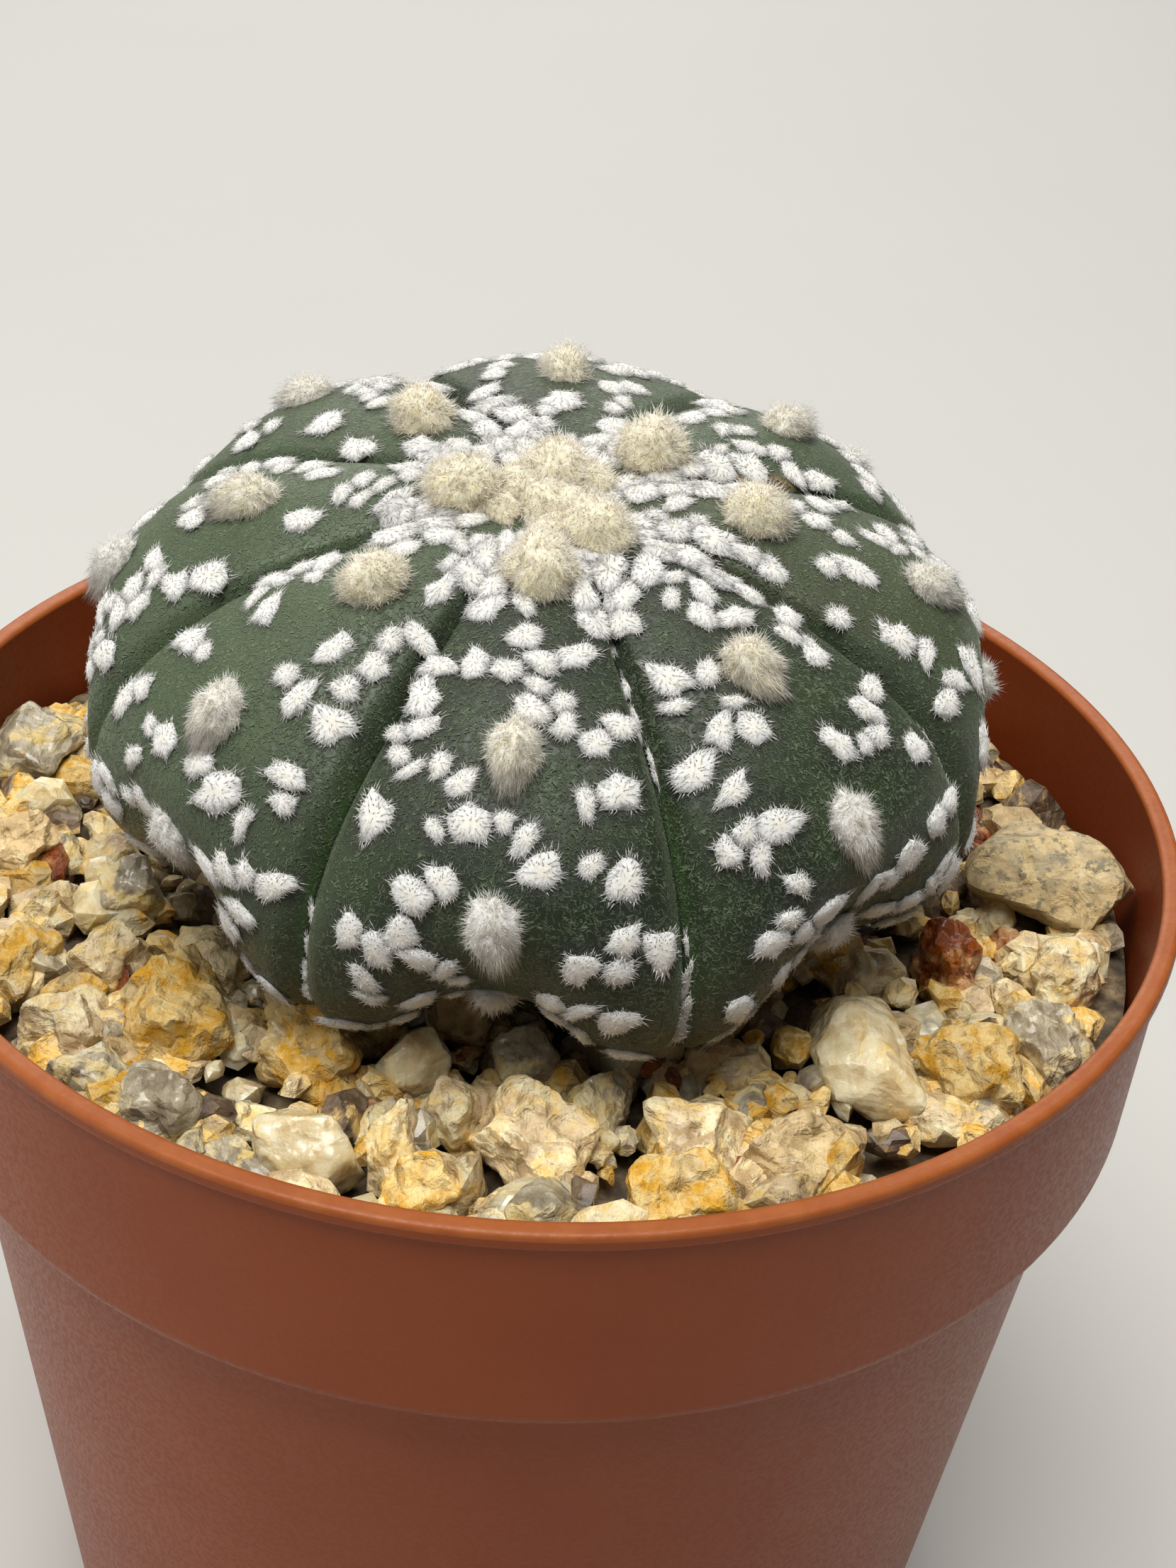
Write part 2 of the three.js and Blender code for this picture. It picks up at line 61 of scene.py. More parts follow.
Colour = tuple[float, float, float]
Place = tuple[float, float, float]


# Random numbers and small sums


class Stream:
    """A repeatable stream of random numbers from 0 to 1."""

    def __init__(self, seed: int) -> None:
        """Starts the stream.

        Args:
            seed: the number that fixes every draw.
        """
        self.state = seed & WORD

    def draw(self) -> float:
        """Gives the next number.

        Returns:
            A number from 0 to just under 1.
        """
        self.state = (self.state + STREAM_STEP) & WORD
        mixed = ((self.state ^ (self.state >> 15)) * (self.state | 1)) & WORD
        mixed ^= (mixed + (mixed ^ (mixed >> 7)) * (mixed | 61)) & WORD
        return ((mixed ^ (mixed >> 14)) & WORD) / (WORD + 1)

    def between(self, low: float, high: float) -> float:
        """Gives a number from low to high."""
        return low + (high - low) * self.draw()

    def three(self, low: float, high: float) -> list[float]:
        """Gives three numbers from low to high."""
        return [self.between(low, high) for _ in range(3)]


def ease(value: np.ndarray | float, low: float, high: float) -> np.ndarray | float:
    """Rises smoothly from 0 at low to 1 at high.

    Args:
        value: where to read the rise.
        low: where it starts.
        high: where it ends.

    Returns:
        The share of the rise.
    """
    if isinstance(value, np.ndarray):
        share = np.clip((value - low) / (high - low), 0, 1)
    else:
        share = min(1.0, max(0.0, (value - low) / (high - low)))
    return share * share * (3 - 2 * share)


# Meshes


def template(shape: bmesh.types.BMesh, heart: Callable[[Vector], float]) -> bpy.types.Mesh:
    """Makes a mesh of a small shape that is copied many times, and frees the shape.

    Args:
        shape: the shape, about its own origin with +Z outwards.
        heart: gives each corner's mark, from 0 at the rim to 1 in the middle.

    Returns:
        The mesh, with the attributes heart and tone.
    """
    bmesh.ops.remove_doubles(shape, verts=shape.verts[:], dist=1e-5)
    bmesh.ops.recalc_face_normals(shape, faces=shape.faces[:])
    marks = shape.verts.layers.float.new("heart")
    shape.verts.layers.float.new("tone")
    for corner in shape.verts:
        corner[marks] = heart(corner.co)
    mesh = bpy.data.meshes.new("template")
    shape.to_mesh(mesh)
    shape.free()
    return mesh


def join_copy(
    shape: bmesh.types.BMesh,
    source: bpy.types.Mesh,
    placing: Matrix,
    tone: float = 0.0,
    finish: int = 0,
) -> None:
    """Adds a placed copy of a template to a shape.

    Args:
        shape: the shape that grows.
        source: the template.
        placing: where the copy goes, in millimetres.
        tone: the copy's own tone, from 0 to 1.
        finish: the number of its material.
    """
    copy = source.copy()
    copy.transform(Matrix.Scale(MM, 4) @ placing)
    copy.attributes["tone"].data.foreach_set("value", [tone] * len(copy.vertices))
    copy.polygons.foreach_set("material_index", [finish] * len(copy.polygons))
    shape.from_mesh(copy)
    bpy.data.meshes.remove(copy)


def rounded(corners: Sequence[Place], steps: int = 4) -> list[tuple[float, float]]:
    """Rounds the corners of a profile.

    Args:
        corners: radius, height and rounding of each corner, in millimetres.
        steps: steps of each rounding.

    Returns:
        Radius and height pairs, with close rings beside each rounding.
    """
    points: list[tuple[float, float]] = []
    ring = 0.06
    for i, (reach, rise, rounding) in enumerate(corners):
        here = Vector((reach, rise))
        if rounding == 0:
            points.append((reach, rise))
            continue
        before = (Vector(corners[i - 1][:2]) - here).normalized()
        after = (Vector(corners[i + 1][:2]) - here).normalized()
        start, end = here + before * rounding, here + after * rounding
        points.append(tuple(start + before * ring))
        for k in range(steps + 1):
            t = k / steps
            points.append(tuple(start * (1 - t) ** 2 + here * (2 * t * (1 - t)) + end * t**2))
        points.append(tuple(end + after * ring))
    return points


def spun(profile: Sequence[tuple[float, float]], steps: int) -> bmesh.types.BMesh:
    """Turns a closed profile about Z.

    Args:
        profile: radius and height pairs in millimetres, from the axis back to the axis.
        steps: steps of the full turn.

    Returns:
        The closed shape in metres.
    """
    shape = bmesh.new()
    corners = [shape.verts.new((r * MM, 0, z * MM)) for r, z in profile]
    edges = [shape.edges.new(pair) for pair in zip(corners, corners[1:])]
    bmesh.ops.spin(
        shape,
        geom=corners + edges,
        cent=(0, 0, 0),
        axis=(0, 0, 1),
        angle=2 * math.pi,
        steps=steps,
        use_merge=True,
    )
    bmesh.ops.remove_doubles(shape, verts=shape.verts[:], dist=1e-7)
    bmesh.ops.recalc_face_normals(shape, faces=shape.faces[:])
    return shape


def sharpen(shape: bmesh.types.BMesh, degrees: float) -> None:
    """Keeps the edges of a shape sharp where it bends more than some degrees."""
    for edge in shape.edges:
        edge.smooth = edge.calc_face_angle(0.0) < degrees * DEGREE


def shape_object(name: str, shape: bmesh.types.BMesh) -> bpy.types.Object:
    """Makes a smooth-shaded object of a shape, and frees the shape.

    Args:
        name: the object's name.
        shape: the shape, in metres.

    Returns:
        The object, linked to the scene.
    """
    mesh = bpy.data.meshes.new(name)
    shape.to_mesh(mesh)
    shape.free()
    mesh.polygons.foreach_set("use_smooth", [True] * len(mesh.polygons))
    piece = bpy.data.objects.new(name, mesh)
    bpy.context.scene.collection.objects.link(piece)
    return piece


def mark_points(piece: bpy.types.Object, marks: dict[str, Sequence[float]]) -> None:
    """Writes marks for colour on the points of a piece.

    Args:
        piece: the piece.
        marks: each mark's values for the first points. Any points after them get 0.
    """
    for key, values in marks.items():
        layer = piece.data.attributes.new(key, "FLOAT", "POINT")
        padded = np.zeros(len(piece.data.vertices), np.float32)
        padded[: len(values)] = values
        layer.data.foreach_set("value", padded)


def shown(
    piece: bpy.types.Object,
    finishes: Sequence[bpy.types.Material],
    replaced: Iterable[str] = (),
) -> bpy.types.Object:
    """Dresses a piece and tells the frame about it.

    Args:
        piece: the piece, in place.
        finishes: its materials, in slot order.
        replaced: the nodes that it stands for.

    Returns:
        The piece.
    """
    for material in finishes:
        piece.data.materials.append(material)
    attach(piece, BODY)
    if replaced:
        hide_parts(*replaced)
    triangles = sum(len(face.vertices) - 2 for face in piece.data.polygons)
    log.info("%s: %d triangles", piece.name, triangles)
    return piece


# Shader graphs


class Graph:
    """A node tree with short calls that add and link its nodes."""

    def __init__(self, tree: bpy.types.NodeTree) -> None:
        """Takes the tree to build in."""
        self.tree = tree

    def add(self, kind: str, **settings: object) -> bpy.types.Node:
        """Adds a node and gives its settings.

        Args:
            kind: the node's type name after ShaderNode.
            settings: the node's own properties.

        Returns:
            The node.
        """
        node = self.tree.nodes.new("ShaderNode" + kind)
        for key, value in settings.items():
            setattr(node, key, value)
        return node

    def feed(self, socket: bpy.types.NodeSocket, value: object) -> None:
        """Links or sets a socket.

        Args:
            socket: the input.
            value: an output to link, or a number or colour to set.
        """
        if isinstance(value, bpy.types.NodeSocket):
            self.tree.links.new(value, socket)
        elif isinstance(value, tuple) and len(value) == 3 and socket.type == "RGBA":
            socket.default_value = (*value, 1)
        else:
            socket.default_value = value

    def places(self) -> bpy.types.NodeSocket:
        """Gives the object's own coordinates."""
        return self.add("TexCoord").outputs["Object"]

    def mark(self, name: str) -> bpy.types.NodeSocket:
        """Gives a piece's attribute."""
        return self.add("Attribute", attribute_name=name).outputs["Fac"]

    def noise(
        self,
        where: bpy.types.NodeSocket,
        size_mm: float,
        detail: float = 3,
        rough: float = 0.55,
        bend: float = 0,
    ) -> bpy.types.NodeSocket:
        """Adds noise.

        Args:
            where: the coordinates that it reads.
            size_mm: the size of its largest features.
            detail: its octaves.
            rough: how strong the finer octaves are.
            bend: its distortion.

        Returns:
            The value from 0 to 1.
        """
        node = self.add("TexNoise")
        self.feed(node.inputs["Vector"], where)
        self.feed(node.inputs["Scale"], 1 / (size_mm * MM))
        self.feed(node.inputs["Detail"], detail)
        self.feed(node.inputs["Roughness"], rough)
        self.feed(node.inputs["Distortion"], bend)
        return node.outputs["Fac"]

    def cells(
        self,
        where: bpy.types.NodeSocket,
        size_mm: float,
        feature: str = "SMOOTH_F1",
        metric: str = "EUCLIDEAN",
    ) -> bpy.types.NodeSocket:
        """Adds cells and gives the distance in them.

        Args:
            where: the coordinates that it reads.
            size_mm: the size of a cell.
            feature: which distance is given.
            metric: how the distance is measured.

        Returns:
            The distance.
        """
        node = self.add("TexVoronoi", feature=feature, distance=metric)
        self.feed(node.inputs["Vector"], where)
        self.feed(node.inputs["Scale"], 1 / (size_mm * MM))
        return node.outputs["Distance"]

    def ramp(
        self,
        value: bpy.types.NodeSocket,
        low: float,
        high: float,
        bottom: float = 0,
        top: float = 1,
    ) -> bpy.types.NodeSocket:
        """Maps a value to another range, smoothly and clamped.

        Args:
            value: the value.
            low: where the rise starts.
            high: where it ends.
            bottom: what low becomes.
            top: what high becomes.

        Returns:
            The mapped value.
        """
        node = self.add("MapRange", interpolation_type="SMOOTHSTEP")
        for key, number in (
            ("From Min", low),
            ("From Max", high),
            ("To Min", bottom),
            ("To Max", top),
        ):
            self.feed(node.inputs[key], number)
        self.feed(node.inputs["Value"], value)
        return node.outputs["Result"]

    def sum(self, kind: str, first: object, second: object) -> bpy.types.NodeSocket:
        """Works out a sum of two values.

        Args:
            kind: the sum, as a Math node names it.
            first: the first value.
            second: the second value.

        Returns:
            The result.
        """
        node = self.add("Math", operation=kind)
        self.feed(node.inputs[0], first)
        self.feed(node.inputs[1], second)
        return node.outputs[0]

    def times(self, first: object, second: object) -> bpy.types.NodeSocket:
        """Multiplies two values."""
        return self.sum("MULTIPLY", first, second)

    def mix(self, share: object, first: object, second: object) -> bpy.types.NodeSocket:
        """Blends two colours.

        Args:
            share: the share of the second colour.
            first: the first colour.
            second: the second colour.

        Returns:
            The blend.
        """
        node = self.add("Mix", data_type="RGBA")
        self.feed(node.inputs[0], share)
        self.feed(node.inputs[6], first)
        self.feed(node.inputs[7], second)
        return node.outputs[2]

    def dyed(
        self, tint: object, name: str, share: object, colour: Colour
    ) -> bpy.types.NodeSocket:
        """Blends a colour in where a piece is marked.

        Args:
            tint: the colour so far.
            name: the mark.
            share: how much of the colour a full mark brings.
            colour: the colour that is blended in.

        Returns:
            The blend.
        """
        return self.mix(self.times(self.mark(name), share), tint, colour)

    def bump(
        self,
        height: bpy.types.NodeSocket,
        depth_mm: float,
        strength: float = 1,
        normal: bpy.types.NodeSocket | None = None,
    ) -> bpy.types.NodeSocket:
        """Adds relief.

        Args:
            height: the relief's height from 0 to 1.
            depth_mm: how deep that is.
            strength: how much of it shows.
            normal: the relief that this one is laid over.

        Returns:
            The normal.
        """
        node = self.add("Bump")
        self.feed(node.inputs["Height"], height)
        self.feed(node.inputs["Distance"], depth_mm * MM)
        self.feed(node.inputs["Strength"], strength)
        if normal is not None:
            self.feed(node.inputs["Normal"], normal)
        return node.outputs["Normal"]

    def group(self, tree: bpy.types.NodeTree, **values: object) -> bpy.types.Node:
        """Places a node group.

        Args:
            tree: the group.
            values: its inputs, with underscores for spaces.

        Returns:
            The group's node.
        """
        node = self.add("Group", node_tree=tree)
        for key, value in values.items():
            self.feed(node.inputs[key.replace("_", " ")], value)
        return node


def new_group(
    name: str,
    inputs: Sequence[tuple[str, str]],
    outputs: Sequence[tuple[str, str]],
) -> tuple[bpy.types.NodeTree, bpy.types.Node, bpy.types.Node]:
    """Starts a shader node group.

    Args:
        name: the group's name.
        inputs: name and socket type of each input.
        outputs: name and socket type of each output.

    Returns:
        The tree, its input node and its output node.
    """
    tree = bpy.data.node_groups.new(name, "ShaderNodeTree")
    for key, kind in inputs:
        tree.interface.new_socket(key, in_out="INPUT", socket_type="NodeSocket" + kind)
    for key, kind in outputs:
        tree.interface.new_socket(key, in_out="OUTPUT", socket_type="NodeSocket" + kind)
    return tree, tree.nodes.new("NodeGroupInput"), tree.nodes.new("NodeGroupOutput")


def blotch_group() -> bpy.types.NodeTree:
    """Makes the group that breaks a surface into soft patches and fine grains.

    Returns:
        The group, with the masks Patches and Grains.
    """
    tree, given, out = new_group(
        "Patches and grains",
        [("Vector", "Vector"), ("Patch Scale", "Float"), ("Grain Scale", "Float")],
        [("Patches", "Float"), ("Grains", "Float")],
    )
    graph = Graph(tree)
    for key, scale, detail in (("Patches", "Patch Scale", 4), ("Grains", "Grain Scale", 2)):
        node = graph.add("TexNoise")
        graph.feed(node.inputs["Vector"], given.outputs["Vector"])
        graph.feed(node.inputs["Scale"], given.outputs[scale])
        graph.feed(node.inputs["Detail"], detail)
        graph.feed(out.inputs[key], graph.ramp(node.outputs["Fac"], 0.35, 0.65))
    return tree


def fibre_group() -> bpy.types.NodeTree:
    """Makes the group of matted fibres that felt and wool share.

    Returns:
        The group, with the mask Fibres and the Normal of their relief.
    """
    tree, given, out = new_group(
        "Matted fibres",
        [("Vector", "Vector"), ("Depth", "Float")],
        [("Fibres", "Float"), ("Normal", "Vector")],
    )
    graph = Graph(tree)
    coarse = graph.noise(given.outputs["Vector"], 0.5, 4, 0.7, 1.5)
    fine = graph.noise(given.outputs["Vector"], 0.16, 2, 0.6, 2.5)
    fibres = graph.sum("ADD", graph.times(coarse, 0.5), graph.times(fine, 0.5))
    relief = graph.add("Bump")
    graph.feed(relief.inputs["Height"], fibres)
    graph.feed(relief.inputs["Distance"], given.outputs["Depth"])
    graph.feed(out.inputs["Fibres"], graph.ramp(fibres, 0.38, 0.62))
    graph.feed(out.inputs["Normal"], relief.outputs["Normal"])
    return tree


@dataclass(frozen=True)
class Groups:
    """The node groups that several finishes place."""

    blotches: bpy.types.NodeTree
    fibres: bpy.types.NodeTree


def new_material(
    name: str, fixed: dict[str, object] | None = None
) -> tuple[bpy.types.Material, Graph, bpy.types.Node]:
    """Starts a material.

    Args:
        name: the material's name.
        fixed: the shader's inputs that are the same all over.

    Returns:
        The material, its graph and its Principled BSDF.
    """
    material = bpy.data.materials.new(name)
    material.use_nodes = True
    shader = material.node_tree.nodes["Principled BSDF"]
    for key, value in (fixed or {}).items():
        shader.inputs[key].default_value = value
    return material, Graph(material.node_tree), shader


# Finishes


@dataclass(frozen=True)
class PotFinish:
    """Satin terracotta plastic, scuffed and finely grained, with painted shade inside and a
    painted highlight on the lip.
    """

    colour: Colour = (0.226, 0.044, 0.007)
    pale: Colour = (0.274, 0.063, 0.014)
    dust: Colour = (0.40, 0.20, 0.11)
    painted_inner_shade: Colour = (0.125, 0.017, 0.001)
    lip_highlight: Colour = (0.34, 0.105, 0.028)
    roughness: float = 0.4

    def material(self, groups: Groups) -> bpy.types.Material:
        """Makes the material.

        Args:
            groups: the shared node groups.

        Returns:
            The material.
        """
        fixed = {"Specular IOR Level": 0.22}
        material, graph, shader = new_material("Terracotta plastic", fixed)
        where = graph.places()
        spots = graph.group(groups.blotches, Vector=where, Patch_Scale=90.0, Grain_Scale=2600.0)
        worn = graph.times(spots.outputs["Patches"], 0.3)
        tint = graph.mix(worn, self.colour, self.pale)
        scuffs = graph.ramp(graph.noise(where, 3.0, 6, 0.75, 2.0), 0.64, 0.78)
        tint = graph.mix(graph.times(scuffs, 0.2), tint, self.dust)
        # Painted shade on the inner wall, below the rim.
        tint = graph.dyed(tint, "inner", 0.75, self.painted_inner_shade)
        # Painted highlight along the top of the lip, broken up by noise.
        lip_highlight_share = graph.ramp(graph.noise(where, 2.4, 4, 0.6), 0.3, 0.7, 0.35, 0.75)
        tint = graph.dyed(tint, "lip", lip_highlight_share, self.lip_highlight)
        graph.feed(shader.inputs["Base Color"], tint)
        low, high = self.roughness - 0.05, self.roughness + 0.07
        rough = graph.ramp(spots.outputs["Grains"], 0, 1, low, high)
        rough = graph.sum("ADD", rough, graph.times(graph.mark("inner"), 0.15))
        rough = graph.sum("ADD", rough, graph.times(scuffs, 0.15))
        graph.feed(shader.inputs["Roughness"], rough)
        soft = graph.bump(graph.noise(where, 6.0, 2), 0.04, 0.6)
        graph.feed(shader.inputs["Normal"], graph.bump(spots.outputs["Grains"], 0.008, 0.6, soft))
        return material


@dataclass(frozen=True)
class SkinFinish:
    """Grey-green skin with a wax sheen and a fine leathery grain, painted with shade round the
    flecks, in the seams and low down, and with light on the sides.
    """

    deep: Colour = (0.010, 0.021, 0.006)
    mid: Colour = (0.019, 0.037, 0.010)
    pale: Colour = (0.135, 0.185, 0.095)
    side_light_tint: Colour = (0.110, 0.155, 0.085)
    shadow: Colour = (0.011, 0.015, 0.009)
    fresh: Colour = (0.030, 0.085, 0.010)
    groove_shade: Colour = (0.006, 0.010, 0.004)
    olive_base_shade: Colour = (0.055, 0.050, 0.026)
    cork: Colour = (0.40, 0.27, 0.14)
    sheen: Colour = (0.82, 0.92, 0.68)
    roughness: float = 0.44

    def material(self, groups: Groups) -> bpy.types.Material:
        """Makes the material.

        Args:
            groups: the shared node groups.

        Returns:
            The material.
        """
        fixed = {
            "Specular IOR Level": 0.4,
            "Sheen Weight": 0.2,
            "Sheen Roughness": 0.4,
            "Sheen Tint": (*self.sheen, 1),
        }
        material, graph, shader = new_material("Cactus skin", fixed)
        where = graph.places()
        spots = graph.group(groups.blotches, Vector=where, Patch_Scale=140.0, Grain_Scale=2400.0)
        worms = graph.noise(where, 0.44, 1, 0.5, 1.0)
        from_middle = graph.sum("ABSOLUTE", graph.sum("SUBTRACT", worms, 0.5), 0)
        ridges = graph.ramp(from_middle, 0, 0.07, 1, 0)
        tint = graph.mix(spots.outputs["Patches"], self.deep, self.mid)
        # Painted shade round the flecks; the pale ridges fade there too.
        tint = graph.dyed(tint, "painted_fleck_shade", 0.7, self.shadow)
        # Painted light and painted sheen on the left and right sides.
        tint = graph.dyed(tint, "painted_side_light", 0.5, self.side_light_tint)
        faded = graph.ramp(graph.mark("painted_fleck_shade"), 0, 1, 0.66, 0.4)
        tint = graph.mix(graph.times(ridges, faded), tint, self.pale)
        rough_cork = graph.ramp(graph.noise(where, 1.4, 5, 0.7), 0.3, 0.6, 0.4, 1)
        # Olive towards the base, also painted shade under the body; lessened where the side light
        # is painted.
        tint = graph.dyed(tint, "low", 0.5, self.olive_base_shade)
        tint = graph.dyed(tint, "seam", 0.7, self.fresh)
        # Painted shade along the bottom of the seams' creases.
        tint = graph.dyed(tint, "groove_shade", 0.85, self.groove_shade)
        tint = graph.dyed(tint, "cork", rough_cork, self.cork)
        graph.feed(shader.inputs["Base Color"], tint)
        rough = graph.ramp(spots.outputs["Grains"], 0, 1, self.roughness, self.roughness + 0.16)
        graph.feed(shader.inputs["Roughness"], rough)
        swell = graph.bump(graph.noise(where, 3.5, 2), 0.25, 0.8)
        grain = graph.bump(spots.outputs["Grains"], 0.02, 0.7, swell)
        graph.feed(shader.inputs["Normal"], graph.bump(ridges, 0.22, 1.0, grain))
        return material


@dataclass(frozen=True)
class FeltFinish:
    """Dry white felt and cream wool, with a faint tan heart."""

    white: Colour = (0.95, 0.935, 0.885)
    shade: Colour = (0.89, 0.865, 0.78)
    heart: Colour = (0.80, 0.64, 0.42)
    wool: Colour = (0.99, 0.85, 0.53)
    heart_share: float = 0.26

    def material(self, groups: Groups, name: str, yellow: float) -> bpy.types.Material:
        """Makes the material.

        Args:
            groups: the shared node groups.
            name: the material's name.
            yellow: how far the piece's tone turns it to cream wool.

        Returns:
            The material.
        """
        fixed = {
            "Specular IOR Level": 0.2,
            "Sheen Weight": 0.8,
            "Sheen Roughness": 0.6,
            "Subsurface Weight": 0.7,
            "Subsurface Radius": (1.0, 0.92, 0.76),
            "Subsurface Scale": 0.9 * MM,
        }
        material, graph, shader = new_material(name, fixed)
        where = graph.places()
        felt = graph.group(groups.fibres, Vector=where, Depth=(0.14 - 0.05 * yellow) * MM)
        tint = graph.mix(felt.outputs["Fibres"], self.shade, self.white)
        tint = graph.dyed(tint, "tone", yellow, self.wool)
        spot = graph.ramp(graph.mark("heart"), 0.2, 1.0, 0, self.heart_share)
        tint = graph.mix(spot, tint, self.heart)
        graph.feed(shader.inputs["Base Color"], tint)
        graph.feed(shader.inputs["Roughness"], graph.ramp(felt.outputs["Fibres"], 0, 1, 0.95, 0.8))
        graph.feed(shader.inputs["Normal"], felt.outputs["Normal"])
        return material


@dataclass(frozen=True)
class StoneFinish:
    """A kind of gravel stone: glassy rock with patches of rough crust, and specks."""

    name: str
    rock: Colour
    rock_dark: Colour
    crust: Colour
    crust_pale: Colour
    crust_share: float
    speck: Colour = (0.06, 0.045, 0.03)
    speck_share: float = 0.0
    roughness: float = 0.42
    relief: float = 0.25
    glow: float = 0.0
    gloss: float = 0.35

    def material(self, groups: Groups) -> bpy.types.Material:
        """Makes the material.

        Args:
            groups: the shared node groups.

        Returns:
            The material.
        """
        fixed = {"Coat Roughness": 0.16, "Specular IOR Level": 0.45}
        if self.glow:
            fixed["Subsurface Weight"] = self.glow
            fixed["Subsurface Radius"] = (1.0, 0.75, 0.5)
            fixed["Subsurface Scale"] = 1.6 * MM
        material, graph, shader = new_material(self.name, fixed)
        where = graph.places()
        spots = graph.group(groups.blotches, Vector=where, Patch_Scale=620.0, Grain_Scale=2600.0)
        edge = 0.64 - 0.26 * self.crust_share
        crust = graph.ramp(graph.noise(where, 3.0, 5, 0.6, 0.8), edge - 0.03, edge + 0.08)
        rock = graph.mix(spots.outputs["Patches"], self.rock, self.rock_dark)
        pale = graph.ramp(graph.noise(where, 1.7, 6, 0.7), 0.36, 0.62)
        tint = graph.mix(crust, rock, graph.mix(pale, self.crust, self.crust_pale))
        dots = graph.ramp(graph.noise(where, 0.75, 4, 0.65), 0.51, 0.6)
        sparse = 0.46 - 0.24 * self.speck_share
        gate = graph.ramp(graph.noise(where, 1.6, 3), sparse, 0.56, 0, self.speck_share)
        tint = graph.mix(graph.times(dots, gate), tint, self.speck)
        dim = graph.add("HueSaturation")
        graph.feed(dim.inputs["Color"], tint)
        dim.inputs["Saturation"].default_value = 1.12
        graph.feed(dim.inputs["Value"], graph.ramp(graph.mark("tone"), 0, 1, 0.68, 1.0))
        graph.feed(shader.inputs["Base Color"], dim.outputs["Color"])
        low, high = self.roughness - 0.1, self.roughness + 0.08
        polish = graph.ramp(spots.outputs["Grains"], 0, 1, low, high)
        dull = graph.times(crust, 0.38)
        graph.feed(shader.inputs["Roughness"], graph.sum("ADD", polish, dull))
        facets = graph.bump(graph.cells(where, 1.5, "F1", "MANHATTAN"), self.relief * 1.1, 1.0)
        coarse = graph.bump(graph.noise(where, 1.2, 6, 0.7, 0.6), self.relief * 0.8, 0.8, facets)
        lumps = graph.times(crust, graph.noise(where, 0.5, 5, 0.75))
        raised = graph.bump(lumps, 0.18, 0.8, coarse)
        graph.feed(shader.inputs["Normal"], graph.bump(spots.outputs["Grains"], 0.03, 0.6, raised))
        glassy = graph.ramp(crust, 0, 1, self.gloss, 0)
        graph.feed(shader.inputs["Coat Weight"], glassy)
        return material


class StoneKind(Enum):
    """The kinds of stone in the gravel."""

    OCHRE = StoneFinish(
        "Ochre stone", (0.74, 0.57, 0.30), (0.46, 0.33, 0.16), (0.80, 0.45, 0.10),
        (0.98, 0.76, 0.39), 0.85, speck_share=0.08, relief=0.42,
    )
    CREAM = StoneFinish(
        "Cream stone", (0.82, 0.66, 0.44), (0.52, 0.38, 0.22), (0.94, 0.68, 0.30),
        (1.0, 0.90, 0.62), 0.7, speck_share=0.1, relief=0.38,
    )
    QUARTZ = StoneFinish(
        "Milky quartz", (0.90, 0.81, 0.58), (0.72, 0.58, 0.34), (0.94, 0.70, 0.28),
        (1.0, 0.93, 0.74), 0.3, roughness=0.2, relief=0.18, glow=0.5, gloss=0.9,
    )
    GREY = StoneFinish(
        "Grey stone", (0.56, 0.49, 0.36), (0.30, 0.25, 0.17), (0.92, 0.70, 0.32),
        (0.98, 0.86, 0.56), 0.45, speck_share=0.1, roughness=0.26, relief=0.34, glow=0.15,
        gloss=0.8,
    )
    TAN = StoneFinish(
        "Tan pitted stone", (0.72, 0.54, 0.31), (0.50, 0.36, 0.19), (0.82, 0.62, 0.34),
        (0.92, 0.76, 0.48), 0.5, speck_share=0.3, roughness=0.55, relief=0.38, gloss=0.1,
    )
    RED = StoneFinish(
        "Red-brown stone", (0.36, 0.10, 0.035), (0.18, 0.044, 0.016), (0.50, 0.18, 0.06),
        (0.86, 0.58, 0.34), 0.55, roughness=0.3, relief=0.62,
    )
    DARK = StoneFinish(
        "Dark stone", (0.19, 0.13, 0.085), (0.09, 0.062, 0.042), (0.50, 0.34, 0.14),
        (0.66, 0.48, 0.24), 0.3, relief=0.4,
    )
    SPECKLED = StoneFinish(
        "Speckled stone", (0.68, 0.53, 0.30), (0.44, 0.35, 0.21), (0.64, 0.49, 0.26),
        (0.78, 0.63, 0.38), 0.5, speck=(0.20, 0.18, 0.12), speck_share=0.85, roughness=0.55,
        relief=0.16, gloss=0.05,
    )


KINDS = list(StoneKind)


@dataclass(frozen=True)
class SoilFinish:
    """Dark crumbly soil."""

    name: str = "Potting soil"
    dark: Colour = (0.018, 0.012, 0.008)
    brown: Colour = (0.085, 0.05, 0.028)

    def material(self, groups: Groups) -> bpy.types.Material:
        """Makes the material.

        Args:
            groups: the shared node groups.

        Returns:
            The material.
        """
        material, graph, shader = new_material(self.name)
        where = graph.places()
        spots = graph.group(groups.blotches, Vector=where, Patch_Scale=500.0, Grain_Scale=2200.0)
        tint = graph.mix(spots.outputs["Patches"], self.dark, self.brown)
        tint = graph.mix(graph.times(spots.outputs["Grains"], 0.4), tint, self.dark)
        graph.feed(shader.inputs["Base Color"], tint)
        graph.feed(shader.inputs["Roughness"], graph.ramp(spots.outputs["Grains"], 0, 1, 0.85, 1))
        crumbs = graph.bump(graph.cells(where, 1.4), 0.9, 1)
        grains = graph.bump(graph.noise(where, 0.5, 5, 0.7), 0.3, 0.9, crumbs)
        graph.feed(shader.inputs["Normal"], grains)
        return material


# The plant


@dataclass(frozen=True)
class Spot:
    """A place on the plant's skin."""

    rib: int
    degrees: float
    across: float
    radius: float
    stretch: float = 1.0
    turn: float = 0.0


